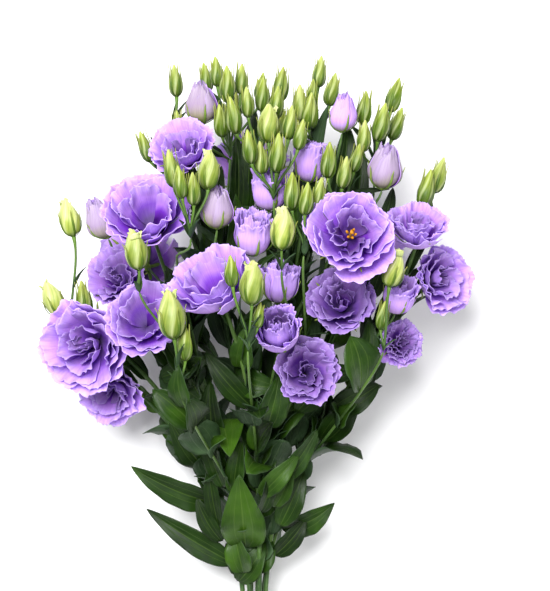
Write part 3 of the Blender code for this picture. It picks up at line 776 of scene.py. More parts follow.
# %% The green finishes
def green_finish(name, stops, vein_colour, veins=26.0, rough=0.48, through_share=0.12, wander=0.3):
    """Colour: a ramp along the sheet, shifted by slow noise and tone, and lighter veins along it."""
    finish = Finish(name, Roughness=rough, Specular_IOR_Level=0.3)
    across_along = finish.sheet()
    patches = finish.noise(finish.place(), 70.0)
    along = finish.math("ADD", finish.part(across_along, "Y"), finish.to(patches, -wander, wander))
    colour = finish.colours(along, *stops)
    colour = finish.mix(finish.to(finish.number("tone"), 0.0, 0.22), colour, vein_colour)
    lines = finish.noise(finish.stretched(across_along, veins, 1.2, 1.0), 1.0, 3.0)
    colour = finish.mix(finish.to(finish.between(lines, 0.48, 0.66), 0.0, 0.35), colour, vein_colour)
    finish.set("Base Color", colour)
    grain = finish.noise(finish.place(), 700.0)
    finish.set("Roughness", finish.to(grain, rough - 0.10, rough + 0.10))
    finish.relief(finish.math("ADD", lines, finish.math("MULTIPLY", grain, 0.4)), 0.2 * MM, 0.6)
    if through_share:
        finish.let_light_through(through_share, colour)
    return finish.material


sepal_green = green_finish(
    "sepal_green",
    [(0.0, seen(58, 88, 22)), (0.5, seen(86, 118, 34)), (1.0, seen(140, 156, 70))],
    seen(150, 170, 80),
    veins=9.0,
)
anther_finish = green_finish(
    "anther",
    [(0.0, seen(170, 170, 110)), (0.55, seen(200, 160, 50)), (0.75, seen(196, 128, 14))],
    seen(226, 170, 50),
    veins=6.0,
)
print("green finishes:", sepal_green.name, anther_finish.name)

# %% [markdown]
# ## The blooms
#
# Now every bloom's plain solid gives way to its petals, its calyx and the knob under them. They are made
# about +Z at radius 1, because all numbers are easy there, and then stood on the foot, axis and radius
# that the solid gave. The places are kept, so that leaves can keep clear of them later.


# %% Make the open, half open and closed blooms
WALL_OF_PETAL = 0.35 * MM
WALL_OF_SEPAL = 0.5 * MM
OPEN_KNOB = 0.10, -0.10, 0.005  # radius, and from how low to how high
HALF_KNOB = 0.24, -0.05, 0.18
bloom_places = {}


def grow_bloom(node, kind):
    """Petals, calyx and, where they show, stamens, in place of a bloom's plain solid."""
    rng = dice(node)
    foot, axis, radius = turned_solid(node, -1 if kind == "closed" else 1)
    bloom_places[node] = foot, axis, radius

    def stand(sheets):
        return [{**sheet, "points": placed(sheet["points"], foot, axis, radius)} for sheet in sheets]

    outside = petal_pale if kind == "closed" and node not in VIOLET else petal_outside
    # a bloom that faces the floor lies in shade, so its outer faces take the darker inside violet: painted
    # shade
    if axis[2] < 0:
        outside = petal_inside
    petals = mesh_of(f"{node}_petals", stand(bloom_sheets(node, turns_of(node, kind))), outside, petal_inside)
    give_wall(petals, WALL_OF_PETAL, 1)
    stand_for(petals, "petal" if kind != "closed" else "pale_petal", node)
    line, half_width = OPEN_SEPAL if kind == "open" else HALF_SEPAL
    sepals = [awl(line, rng.uniform(-0.1, 0.1) + k * 2 * math.pi / 5, half_width) for k in range(5)]
    calyx = mesh_of(f"{node}_sepals", stand(sepals), sepal_green)
    give_wall(calyx, WALL_OF_SEPAL)
    stand_for(calyx, "leaf")
    drop = knob(*(OPEN_KNOB if kind == "open" else HALF_KNOB))
    stand_for(mesh_of(f"{node}_knob", stand([drop]), sepal_green), "leaf")
    if node in SHOW_STAMENS:
        heart = mesh_of(f"{node}_stamens", stand(stamens(rng, 0.66, 0.13)), anther_finish)
        stand_for(heart, "pale_petal")


for node in sorted(nodes):
    kind = node.split("_bloom")[0]
    if kind in TURNS:
        grow_bloom(node, kind)
print("blooms:", len(bloom_places))

# %% [markdown]
# ## Finding the buds of a spray
#
# A spray is one plain solid: stalks that rise from one foot, each with a five-sided spindle for its
# bud. Volume moments can't tell its buds apart, but its corners can. The spindle ends in a small flat
# five-cornered cap. The cap's middle is the tip of the bud, it looks the way the bud points, and its
# radius is 0.8 mm on a bud of size 1. Other flat five-cornered patches are told apart by the corners
# next to them, which lie closer together than those of a bud.
#
# The search runs on a copy with merged corners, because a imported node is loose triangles. A set would
# hand out its corners in another order in each run, so they are kept as a dictionary's keys, which stay
# in the order in which they came.


# %% Helpers: a merged copy, its flat patches, and the buds in it
def merged_copy(node):
    """A bmesh of a node's triangles with their common corners merged."""
    work = bmesh.new()
    work.from_mesh(nodes[node].data)
    bmesh.ops.remove_doubles(work, verts=work.verts, dist=1e-6)
    work.normal_update()
    return work


def flat_patches(work):
    """Lists of joined faces that lie in one plane. A list grows while it is walked along."""
    left = set(work.faces)
    for first in work.faces:
        if first not in left:
            continue
        left.remove(first)
        patch = [first]
        for face in patch:
            for edge in face.edges:
                for other in edge.link_faces:
                    if other in left and other.normal.dot(first.normal) > 0.99999:
                        left.remove(other)
                        patch.append(other)
        yield patch


work = merged_copy("buds_01")
print("merged corners of a spray:", len(work.verts), "flat patches:", sum(1 for _ in flat_patches(work)))
work.free()

# %% Helper: the buds of a spray
UP_THE_BUNCH = unit((0, 1, 0.205))  # from the cut ends to the heads
BUD_TIP = 26.0  # mm from the foot of a bud of size 1 to its tip
BUD_TIP_RADIUS = 0.8  # mm
LEAST_BUD_WIDTH = 2.5  # mm, of the corners next to a cap; a stalk has less
BUD_SIZES = 0.6, 1.8
FOOT_REACH = 3.2  # mm round the lowest corner, where the stalks begin


def find_buds(node):
    """(foot, axis, size) of every bud of a spray, the point that its stalks start from, and their way."""
    work = merged_copy(node)
    found = []
    for patch in flat_patches(work):
        corners = dict.fromkeys(corner for face in patch for corner in face.verts)
        if len(patch) != 3 or len(corners) != 5:
            continue
        spots = np.array([corner.co for corner in corners])
        middle = spots.mean(axis=0)
        axis = np.array(patch[0].normal)
        next_to = dict.fromkeys(edge.other_vert(corner) for corner in corners for edge in corner.link_edges)
        away = np.array([corner.co for corner in next_to if corner not in corners])
        spread = np.median(np.linalg.norm(away - away.mean(axis=0), axis=1))
        size = np.linalg.norm(spots - middle, axis=1).mean() / (BUD_TIP_RADIUS * MM)
        is_bud = spread > LEAST_BUD_WIDTH * MM and BUD_SIZES[0] < size < BUD_SIZES[1]
        if is_bud and axis @ UP_THE_BUNCH > 0.7:
            found.append((middle - axis * BUD_TIP * size * MM, axis, size))
    found.sort(key=lambda bud: tuple(np.round(bud[0] / MM, 1)))
    every = np.array([corner.co for corner in work.verts])
    work.free()
    way = unit(sum(axis for _, axis, _ in found))
    low = every[np.argmin(every @ way)]
    start = every[np.linalg.norm(every - low, axis=1) < FOOT_REACH * MM]
    return found, start.mean(axis=0), way


sprays = {node: find_buds(node) for node in sorted(nodes) if node.startswith("buds_")}
print("buds found:", sum(len(found) for found, _, _ in sprays.values()))

# %% [markdown]
# ## A bud
#
# A lisianthus bud is a spindle of rolled petals. Each petal's edge winds over the next like the stripe
# of a barber's pole. Five rolled sheets would show that too, but hardly more than their edges is seen. So
# the body is one closed sheet whose section is round with five small steps, and the steps turn on the
# way up. Young buds are lime green and wrapped in sepals nearly as long as they are. Ripe ones are
# rounder, creamy yellow, and their petals start to frill at the tip.


# %% Helpers: the body of a bud, its sepals and its frill
RIPE_SIZE = 1.17  # a larger bud is ripe
BUD_LINE = [(0.6, 0.0), (4.2, 2.6), (5.8, 8.2), (5.5, 13.0), (4.2, 18.0), (2.5, 22.6), (0.6, 27.0)]
RIPE_LINE = [(0.6, 0.0), (5.0, 2.6), (6.9, 8.2), (6.9, 13.2), (5.2, 18.4), (2.9, 22.4), (1.2, 25.2)]
SEPAL_LINE = [(1.2, -0.6), (5.1, 2.6), (6.5, 8.4), (6.1, 14.0), (5.2, 20.0), (5.4, 27.5)]
SHORT_SEPAL_LINE = [(1.2, -0.6), (5.4, 2.0), (7.4, 6.2), (7.9, 10.0), (7.6, 14.0), (8.8, 17.5)]
FRILL = {
    "line": [(2.6, 20.0), (2.4, 21.6), (2.2, 23.6), (2.9, 26.0)],
    "wide": 0.8,
    "ruffle": 0.9,
    "cup": 0.4,
    "overlap": 0.4,
    "round": 0.3,
    "depth": 0.6,
}


def bud_body(rng, line):
    """The radius is r(s) (1 + 0.12 (f - 1/2) sin(pi s)), where f rises from 0 to 1 five times round, and
    the whole section turns by 1.5 radians on the way up. `depth` is f^3, so it marks the petals' edges,
    where the finish paints a cream highlight."""
    s = np.linspace(0, 1, 18)[:, None]
    a = np.linspace(0, 2 * math.pi, 30, endpoint=False)[None, :]
    r, z = np.moveaxis(through(line, s), -1, 0)
    step = (a * 5 / (2 * math.pi)) % 1 * np.ones_like(s)
    r = r * (1 + 0.12 * (step - 0.5) * np.sin(math.pi * s))
    turn = a + 1.5 * s + rng.uniform(0, 2)
    points = np.stack([r * np.cos(turn), r * np.sin(turn), z + 0 * a], axis=-1)
    low, high = points[:1].mean(axis=1, keepdims=True), points[-1:].mean(axis=1, keepdims=True)
    ends = [np.broadcast_to(end, (1, points.shape[1], 3)) for end in (low, high)]
    edge = np.vstack([step[:1], step, step[-1:]]) ** 3
    return {"points": np.concatenate([ends[0], points, ends[1]]), "closed": True, "depth": edge}


def bud_parts(rng, size):
    """The body, the sepals and, if it is ripe, the frill of a bud about +Z in millimetres."""
    ripe = size > RIPE_SIZE
    tone = rng.uniform(0.0, 0.5) + (0.5 if ripe else 0.0)
    body = {**bud_body(rng, RIPE_LINE if ripe else BUD_LINE), "tone": tone}
    line = np.array(SHORT_SEPAL_LINE if ripe else SEPAL_LINE) * [1.0, rng.uniform(0.86, 1.05)]
    start = rng.uniform(0, 2)
    sepals = [awl(line, start + k * 2 * math.pi / 5, 1.0 if ripe else 1.35) for k in range(5)]
    frill = []
    if ripe:
        for k in range(5):
            small = petal(FRILL, start + k * 2 * math.pi / 5, rng)
            frill.append({**small, "points": small["points"][::2, ::3]})
    return body, sepals, frill


print("rows and columns of a bud:", bud_body(dice("bud"), BUD_LINE)["points"].shape[:2])


# %% [markdown]
# ## The finish of a bud
#
# Lime green at the foot, yellower towards the tip, and a painted cream highlight along the steps where a
# petal's edge lies. Young and ripe buds could have a material each, but a real bud ripens slowly, so one
# finish holds both colours, and `tone` mixes them.


# %% The bud finish
# painted highlight: the cream that the petals' edges on a bud are lightened with
PAINTED_CREAM_HIGHLIGHT = seen(240, 244, 190)
BUD_VEINS = (0.35, (0.66, 0.74, 0.54, 1)), (0.6, (1, 1, 1, 1))
YOUNG_BUD = (0.05, seen(38, 64, 2)), (0.45, seen(82, 108, 6)), (0.95, seen(166, 178, 66))
RIPE_BUD = (0.05, seen(104, 130, 34)), (0.4, seen(166, 178, 80)), (0.95, seen(222, 222, 158))


def bud_finish():
    """Colour: a young and a ripe ramp along the bud, mixed by tone, with a painted cream highlight along the
    petals' edges and dark fine lines."""
    finish = Finish("bud_skin", Roughness=0.42, Specular_IOR_Level=0.3)
    across_along = finish.sheet()
    patches = finish.noise(finish.place(), 120.0)
    along = finish.math("ADD", finish.part(across_along, "Y"), finish.to(patches, -0.15, 0.15))
    young = finish.colours(along, *YOUNG_BUD)
    ripe = finish.colours(along, *RIPE_BUD)
    colour = finish.mix(finish.between(finish.number("tone"), 0.15, 0.95), young, ripe)
    # painted highlight: cream along the petals' edges, where the steps would catch the light
    edge = finish.math("MULTIPLY", finish.number("depth"), 0.6)
    colour = finish.mix(edge, colour, PAINTED_CREAM_HIGHLIGHT)
    lines = finish.noise(finish.stretched(across_along, 30.0, 1.5, 1.0), 1.0)
    colour = finish.mix(1.0, colour, finish.colours(lines, *BUD_VEINS), "MULTIPLY")
    finish.set("Base Color", colour)
    finish.set("Roughness", finish.to(patches, 0.34, 0.52))
    finish.relief(lines, 0.25 * MM, 0.6)
    finish.let_light_through(0.08, colour)
    return finish.material


bud_skin = bud_finish()
bud_sepal = green_finish(
    "bud_sepal",
    [(0.0, seen(32, 58, 4)), (0.5, seen(60, 90, 10)), (1.0, seen(156, 160, 76))],
    seen(126, 152, 46),
    veins=8.0,
)
stalk_green = green_finish(
    "stalk_green",
    [(0.0, seen(40, 66, 28)), (0.5, seen(56, 84, 30)), (1.0, seen(84, 118, 30))],
    seen(100, 130, 64),
    veins=6.0,
    through_share=0,
)
print("finishes of a spray:", bud_skin.name, bud_sepal.name, stalk_green.name)

# %% [markdown]
# ## The sprays
#
# The buds of a spray stand on thin stalks that leave the stem together, along the way of the spray, and
# reach each bud along its own axis. A cubic whose ends run along given directions does both, where a
# straight thread would meet the bud at an angle. Each stalk widens into the cup of its bud. Its path is
# kept, because narrow leaves will sit on it.


# %% Helper: a curve that leaves and arrives along given directions
def hermite(p, q, along_p, along_q, n):
    """The cubic from p to q whose ends run along two directions."""
    t = np.linspace(0, 1, n)[:, None]
    reach = np.linalg.norm(q - p)
    return (
        (2 * t**3 - 3 * t**2 + 1) * p
        + (t**3 - 2 * t**2 + t) * along_p * reach
        + (3 * t**2 - 2 * t**3) * q
        + (t**3 - t**2) * along_q * reach
    )


east, north, _ = np.eye(3)
bend = hermite(0 * east, east + north, east, north, 3)
print("halfway round a bend from east to north:", np.round(bend[1], 2))


# %% Make the sprays of buds
STALK_RADIUS = 1.05 * MM
STALK_SWELLING = 0.75 * MM  # what it gains in the last seventh of its way, on a bud of size 1
STALK_POINTS = 14
WALL_OF_BUD_SEPAL = 0.45 * MM
stalk_paths = {}


def stood(sheet, foot, axis, size):
    """A sheet in millimetres about +Z, stood in its place at a size."""
    return {**sheet, "points": placed(sheet["points"], foot, axis, size * MM)}


def grow_spray(node):
    """Bodies, sepals and stalks in place of a spray's plain solid."""
    found, start, way = sprays[node]
    rng = dice(node)
    bodies, wraps, stalks = [], [], []
    stalk_paths[node] = []
    swelling = STALK_SWELLING * ramp(np.linspace(0, 1, STALK_POINTS), 0.86, 1.0)
    for foot, axis, size in found:
        body, sepals, frill = bud_parts(rng, size)
        bodies.append(stood(body, foot, axis, size))
        wraps += [stood(sheet, foot, axis, size) for sheet in sepals]
        wraps += [{**stood(sheet, foot, axis, size), "slot": 1} for sheet in frill]
        path = hermite(start, foot + axis * 0.8 * MM, way, axis, STALK_POINTS)
        stalk_paths[node].append(path)
        points = above_floor(thread(path, STALK_RADIUS + swelling * size))
        stalks.append({"points": points, "closed": True, "tone": rng.uniform(0, 1)})
    stand_for(mesh_of(f"{node}_bodies", bodies, bud_skin), "bud", node)
    wrap = mesh_of(f"{node}_sepals", wraps, bud_sepal, bud_skin)
    give_wall(wrap, WALL_OF_BUD_SEPAL)
    stand_for(wrap, "bud")
    stand_for(mesh_of(f"{node}_stalks", stalks, stalk_green), "stem")


for node in sprays:
    grow_spray(node)
print("sprays:", len(sprays))

# %% [markdown]
# ## The stems
#
# Real stems are smooth and waxy, blue-green with paler streaks, and the fresh cut is pale inside.
#
# A stem's solid already has the right course: a trunk with its side twigs grown into it. Threads could
# be laid along it, but they would not grow together at the forks. So a copy of the solid, which is still
# angular, is merged, its pairs of triangles are joined to quads, and Subdivision Surface rounds it. The
# edges of the cut end are creased, so that the cut stays flat.

# %% The stem finish
stem_nodes = sorted(node for node in nodes if node.startswith("stem_"))
cut_height = {node: (triangles(node).reshape(-1, 3) @ UP_THE_BUNCH).min() for node in stem_nodes}


def stem_finish():
    """Colour: slow patches of blue and yellow green, younger green high above the floor, streaks along
    the bunch, and pale at the cut, which is what lies no higher than the highest cut end."""
    finish = Finish("stem_skin", Roughness=0.45, Specular_IOR_Level=0.3)
    place = finish.place()
    patches = finish.noise(place, 26.0)
    stops = (0.30, seen(28, 50, 24)), (0.5, seen(48, 76, 34)), (0.7, seen(78, 106, 46))
    colour = finish.colours(patches, *stops)
    height = finish.part(place, "Z")
    young = finish.between(height, 0.06, 0.17)
    colour = finish.mix(finish.math("MULTIPLY", young, 0.35), colour, seen(98, 128, 50))
    streaks = finish.noise(finish.stretched(place, 900.0, 40.0, 900.0), 1.0, 3.0)
    colour = finish.mix(finish.to(finish.between(streaks, 0.5, 0.7), 0.0, 0.3), colour, seen(110, 138, 84))
    inputs = {0: place, 1: tuple(UP_THE_BUNCH)}
    along = finish.node("ShaderNodeVectorMath", inputs, operation="DOT_PRODUCT").outputs["Value"]
    cut = finish.math("LESS_THAN", along, max(cut_height.values()) + 0.4 * MM)
    colour = finish.mix(cut, colour, seen(206, 216, 160))
    finish.set("Base Color", colour)
    finish.set("Roughness", finish.to(streaks, 0.34, 0.56))
    finish.relief(streaks, 0.15 * MM, 0.6)
    return finish.material


stem_skin = stem_finish()
print("stem finish:", stem_skin.name)


# %% Make the stems
def grow_stem(node):
    """A smoothed, merged copy of a stem."""
    work = merged_copy(node)
    bmesh.ops.join_triangles(work, faces=work.faces, angle_face_threshold=0.9, angle_shape_threshold=1.2)
    crease = work.edges.layers.float.new("crease_edge")
    for edge in work.edges:
        low = all(np.array(corner.co) @ UP_THE_BUNCH < cut_height[node] + 1 * MM for corner in edge.verts)
        edge[crease] = 1.0 if low else 0.0
    for face in work.faces:
        face.smooth = True
    mesh = bpy.data.meshes.new(f"{node}_skin")
    work.to_mesh(mesh)
    work.free()
    mesh.materials.append(stem_skin)
    stem = bpy.data.objects.new(f"{node}_skin", mesh)
    bpy.context.scene.collection.objects.link(stem)
    smooth = stem.modifiers.new("smooth", "SUBSURF")
    smooth.levels = smooth.render_levels = 1
    stand_for(stem, "stem", node)


for node in stem_nodes:
    grow_stem(node)
print("stems:", len(stem_nodes))

# %% [markdown]
# ## The leaves
#
# Leaves sit in pairs on the stems. They are broad ovals with a point, waxy and a little blue, with
# three to five veins that run from foot to tip. Young ones nearer the blooms are narrow. A flat outline
# with a bend modifier would look cut from paper, so the blade is a sheet on a bent spine. Its sides rise,
# its margin ripples, and the middle vein makes a shallow groove.
#
# The larger leaves have solids, and a solid gives its leaf's foot, tip, facing, width and bend.


# %% Helpers: the blade of a leaf
def blade(foot, tip, facing, width, bulge, turn_up, rng, grid, twist=0.0, droop=0.0, blunt=0.0):
    """A leaf, for t from 0 to 1 along and v from -1 to 1 across, on a grid of (rows, columns).

    The spine is foot + t (tip - foot) + (4 bulge t (1 - t) - droop t^4) facing, and it swings sideways by
    a little sin(pi t). To each side the blade reaches half(t) = width/2 sin(pi t^0.8)^0.75 (1 - t/4), and
    1.4 mm more at its foot. A blunt leaf of 1 has sin(pi t^0.95)^0.45 alone, a broad oval with a round
    tip. The sides rise by turn_up half |v|^1.3, less a groove of 0.05 half (1 - |v|)^4 in the middle, and
    sines ripple the margin. The cross lines turn about the spine by twist t.
    """
    foot, tip = np.asarray(foot, float), np.asarray(tip, float)
    along = unit(tip - foot)
    normal = unit(np.asarray(facing, float) - along @ facing * along)
    across = np.cross(along, normal)
    t = np.linspace(0, 1, grid[0])[:, None, None]
    side, face = across, normal
    across = side * np.cos(twist * t) + face * np.sin(twist * t)
    normal = face * np.cos(twist * t) - side * np.sin(twist * t)
    v = np.linspace(-1, 1, grid[1])[None, :, None]
    swell = np.sin(math.pi * t ** (0.8 + 0.15 * blunt)) ** (0.75 - 0.3 * blunt)
    half = width / 2 * swell * (1 - 0.25 * (1 - blunt) * t)
    half += 1.4 * MM * (1 - t) * min(1, width / (12 * MM))
    half[-1] = 0.15 * MM
    a, b = rng.uniform(0, 6, 2)
    margin = 0.10 * half * v**2 * np.sin(9 * t + a + 2 * v) + 0.05 * half * v**4 * np.sin(23 * t + b - 3 * v)
    rise = turn_up * half * np.abs(v) ** 1.3 + margin - 0.05 * half * (1 - np.abs(v)) ** 4
    spine = foot + (tip - foot) * t + face * (bulge * 4 * t * (1 - t) - droop * t**4)
    swing = across * width * rng.uniform(-0.06, 0.06) * np.sin(math.pi * t)
    points = spine + swing + across * half * v + normal * rise
    return {"points": above_floor(points), "tone": rng.uniform(0, 1)}


flat_leaf = blade((0, 0, 0.1), (0, 0.06, 0.1), (0, 0, 1), 20 * MM, 0, 0.2, dice("a leaf"), (22, 13))
print("a leaf of 60 by 20 mm spans, in mm:", np.round(np.ptp(flat_leaf["points"], axis=(0, 1)) / MM, 1))


# %% Helper: read a leaf's plain solid
TIP_EDGES = 0.66, 0.80  # mm: an edge this long lies across the tip
FOOT_EDGES = 1.36, 1.50


def read_leaf(node):
    """Foot, tip, facing, width, bulge and turn_up of a leaf's plain solid.

    Its smallest edges lie across its tip and its foot, each of a length of its own. Along the line
    between those, its corners lie in eight rows of six, and the rows' corners give the rest.
    """
    work = merged_copy(node)
    ends = []
    for low, high in (TIP_EDGES, FOOT_EDGES):
        short = [edge for edge in work.edges if low < edge.calc_length() / MM < high]
        corners = dict.fromkeys(corner for edge in short for corner in edge.verts)
        ends.append(np.array([corner.co for corner in corners]).mean(axis=0))
    tip, foot = ends
    every = np.array([corner.co for corner in work.verts])
    work.free()
    along = unit(tip - foot)
    rows = every[np.argsort(every @ along)].reshape(8, 6, 3)
    wide = rows[3]
    apart = np.linalg.norm(wide[:, None] - wide[None, :], axis=2)
    i, j = np.unravel_index(np.argmax(apart), apart.shape)
    across = unit(wide[i] - wide[j] - (wide[i] - wide[j]) @ along * along)
    order = np.argsort(rows @ across, axis=1)
    rows = np.take_along_axis(rows, order[..., None], axis=1)
    rows = rows.reshape(8, 3, 2, 3).mean(axis=2)
    normal = np.cross(across, along)
    rise = (rows[3, 0] + rows[3, 2]) / 2 - rows[3, 1]
    if rise @ normal < 0:
        normal = -normal
    width = np.linalg.norm(rows[:, 2] - rows[:, 0], axis=1).max()
    bulge = ((rows[3, 1] + rows[4, 1]) / 2 - (foot + tip) / 2) @ normal
    turn_up = rise @ normal / (np.linalg.norm(rows[3, 2] - rows[3, 0]) / 2)
    return foot, tip, normal, width, bulge, turn_up


print("leaf_01 is wide, in mm:", round(read_leaf("leaf_01")[3] / MM, 1))


# %% [markdown]
# ## The finish of a leaf
#
# The upper face is deep green under a grey bloom of wax, and the veins are paler. The lower face is
# greyer and lighter. A picture of a leaf could give the veins, but a few nodes do as well and stay sharp
# at any size. Three main veins follow the blade: on the sheet's own coordinates they are lines at fixed
# shares of the width, which draw together at foot and tip on their own.


# %% The leaf finishes
def leaf_finish(name, dark, middle, light, vein, rough=0.42):
    """Colour: slow patches of three greens, lighter by tone, with a middle vein, a side vein a fifth of
    the width to each side of it, and a net of fine ones."""
    finish = Finish(name, Roughness=rough, Specular_IOR_Level=0.22)
    across_along = finish.sheet()
    patches = finish.noise(finish.place(), 45.0)
    value = finish.math("ADD", finish.to(patches, -0.1, 0.75), finish.to(finish.number("tone"), -0.1, 0.45))
    colour = finish.colours(value, (0.1, dark), (0.5, middle), (0.9, light))
    across = finish.part(across_along, "X")
    off = finish.math("ABSOLUTE", finish.math("SUBTRACT", across, 0.5))
    middle_vein = finish.between(off, 0.028, 0.008)
    side = finish.math("ABSOLUTE", finish.math("SUBTRACT", off, 0.20))
    side_vein = finish.math("MULTIPLY", finish.between(side, 0.016, 0.004), 0.7)
    net = finish.noise(finish.stretched(across_along, 26.0, 4.0, 1.0), 1.0, 3.0)
    fine = finish.math("MULTIPLY", finish.between(net, 0.54, 0.62), 0.25)
    veins = finish.math("MAXIMUM", finish.math("MAXIMUM", middle_vein, side_vein), fine)
    colour = finish.mix(finish.math("MULTIPLY", veins, 0.32), colour, vein)
    finish.set("Base Color", colour)
    grain = finish.noise(finish.place(), 800.0)
    finish.set("Roughness", finish.to(grain, rough - 0.10, rough + 0.12))
    finish.relief(finish.math("SUBTRACT", finish.math("MULTIPLY", grain, 0.3), veins), 0.3 * MM, 0.7)
    finish.let_light_through(0.12, colour)
    return finish.material


UPPER_GREENS = seen(10, 26, 4), seen(28, 54, 8), seen(58, 92, 18), seen(92, 120, 50)
LOWER_GREENS = seen(28, 46, 26), seen(48, 72, 42), seen(76, 102, 66), seen(104, 128, 88)
leaf_upper = leaf_finish("leaf_upper", *UPPER_GREENS)
leaf_lower = leaf_finish("leaf_lower", *LOWER_GREENS, rough=0.5)
print("leaf finishes:", leaf_upper.name, leaf_lower.name)

# %% [markdown]
# ## The large leaves
#
# The eight largest leaves are pieces of their own, because one can see each of them whole. Their lower
# faces come from the wall, which takes the second material. How light a leaf is follows its place: those
# that lie on top of the bunch are painted lighter and yellower, as painted light for the lamp on them.


# %% Make the leaves that have a solid of their own
WALL_OF_LEAF = 0.45 * MM


def add_leaves(name, sheets, *replaced):
    """One piece from leaf sheets, with a wall and both leaf finishes."""
    made = mesh_of(name, sheets, leaf_upper, leaf_lower)
    give_wall(made, WALL_OF_LEAF, 1)
    stand_for(made, "leaf", *replaced)


# painted light: leaves that lie on top of the bunch are made lighter, as if lit more
PAINTED_LIGHT_OF_LEAVES = {"leaf_01": 0.95, "leaf_04": 0.9, "leaf_07": 0.55, "leaf_02": 0.45, "leaf_03": 0.3}
for node in sorted(nodes):
    if node.startswith("leaf_"):
        foot, tip, facing, width, bulge, turn_up = read_leaf(node)
        sheet = blade(foot, tip, facing, width, bulge, turn_up, dice(node), (28, 17))
        sheet["tone"] = PAINTED_LIGHT_OF_LEAVES.get(node, 0.2)
        add_leaves(f"{node}_blade", [sheet], node)
        print(node, "foot", np.round(foot / MM), "tip", np.round(tip / MM), "width", round(width / MM, 1))

# %% [markdown]
# ## The leaves between the blooms
#
# A bunch is full of leaves that only its looks need. Those that fill the gaps between the blooms and
# along the bundle matter most for how dense it looks, and a rule doesn't know where the gaps are. So they
# are listed, in millimetres from the middle of the bunch, which the band's solid gives: foot, tip,
# the way they face, width, bulge, turn-up and tone. The darkest ones stand behind the buds at the top.

# %% Where the middle of the bunch is
BAND_PLACE = np.array([4.0, -172.0, 34.5])  # the middle of the band in the bunch's own millimetres
band_box = np.array(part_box("rubber_band"))
bunch_middle = band_box.mean(axis=0) - BAND_PLACE * MM
print("middle of the bunch, mm:", np.round(bunch_middle / MM, 1))


def spot(x, y, z):
    """A place given in the bunch's own millimetres."""
    return np.array([x, y, z]) * MM + bunch_middle


# %% Leaves listed one by one
# foot, tip, facing, width, bulge, turn_up, tone
# tone here paints shade too: the lowest tones go to the leaves deep in the gaps behind the buds at the top
HAND_LEAVES = [
    ((-24, -22, 96), (-33, 40, 112), (-0.3, -0.2, 1), 22, 7, 0.2, 0.15),
    ((-34, 0, 96), (-56, 44, 104), (-0.5, 0, 1), 14, 5, 0.25, 0.1),
    ((-20, -30, 92), (-52, 34, 98), (-0.6, 0.1, 1), 12, 5, 0.2, 0.35),
    ((14, 4, 112), (24, 44, 132), (0.2, -0.3, 1), 26, 6, 0.1, 0.6),
    ((38, 16, 100), (70, 62, 112), (0.3, -0.2, 1), 24, 7, 0.2, 0.35),
    ((84, 40, 108), (98, 88, 122), (0.5, -0.1, 1), 20, 6, 0.25, 0.2),
    ((66, 16, 92), (104, 38, 96), (0.4, 0.2, 1), 22, 5, 0.2, 0.1),
    ((-8, 52, 120), (-2, 84, 146), (-0.2, -0.3, 1), 20, 6, 0.2, 0.7),
    ((-72, 44, 104), (-34, 60, 118), (-0.3, -0.2, 1), 18, 4, 0.15, 0.2),
    ((8, -52, 98), (38, -20, 112), (0.2, 0.1, 1), 16, 5, 0.2, 0.75),
    ((24, -40, 92), (54, 2, 104), (0.4, 0, 1), 17, 6, 0.2, 0.45),
    ((20, -62, 84), (34, -28, 98), (0.3, 0, 1), 12, 4, 0.2, 0.6),
    ((-14, -50, 88), (-8, -8, 104), (-0.3, 0, 1), 16, 5, 0.2, 0.7),
    ((-22, -46, 80), (-36, 2, 96), (-0.5, 0, 1), 15, 4, 0.3, 0.2),
    ((24, -78, 72), (44, -34, 84), (0.3, 0.2, 1), 20, 5, 0.2, 0.35),
    ((-24, -92, 54), (-44, -56, 66), (-0.4, 0, 1), 14, 4, 0.2, 0.05),
    ((-26, -80, 60), (-34, -30, 78), (-0.5, 0, 1), 13, 4, 0.3, 0.05),
    ((20, -104, 50), (46, -74, 62), (0.4, -0.1, 1), 17, 4, 0.2, 0.15),
    ((8, -66, 92), (18, -30, 108), (0.5, 0.1, 1), 13, 4, 0.2, 0.05),
    ((-6, -118, 54), (-14, -84, 66), (-0.2, -0.2, 1), 22, 5, 0.3, 0.9),
    ((-10, -126, 46), (12, -96, 60), (0.1, -0.2, 1), 20, 5, 0.2, 0.75),
    ((-30, 10, 104), (-66, 16, 104), (-0.3, -0.2, 1), 9, 3, 0.3, 0.5),
    ((44, 48, 122), (92, 50, 118), (0.2, -0.2, 1), 15, 4, 0.2, 0.3),
    ((2, 20, 108), (-36, 62, 124), (-0.3, -0.1, 1), 18, 6, 0.2, 0.1),
    ((-6, 76, 128), (16, 106, 148), (0.1, -0.2, 1), 20, 5, 0.2, 0.35),
    ((96, 108, 120), (108, 148, 132), (0.3, -0.1, 1), 15, 5, 0.2, 0.25),
    ((-8, 46, 104), (20, 36, 120), (0.1, -0.3, 1), 24, 8, 0.15, 0.5),
    ((64, 166, 104), (80, 246, 114), (0.2, -0.2, 1), 23, 5, 0.2, 0.1),
    ((76, 146, 98), (92, 228, 106), (0.4, 0, 1), 17, 5, 0.2, 0.05),
    ((-30, 142, 92), (-25, 214, 102), (-0.3, 0, 1), 19, 5, 0.2, 0.1),
    ((-12, 160, 90), (-10, 238, 104), (0.3, 0, 1), 18, 5, 0.2, 0.05),
    ((30, 140, 92), (42, 224, 104), (0.2, 0, 1), 20, 5, 0.2, 0.1),
    ((96, 140, 100), (116, 196, 108), (0.3, 0, 1), 15, 4, 0.2, 0.1),
    ((-2, 178, 92), (3, 258, 106), (-0.3, 0, 1), 17, 5, 0.2, 0.05),
]
rng = dice("hand leaves")
by_hand = []
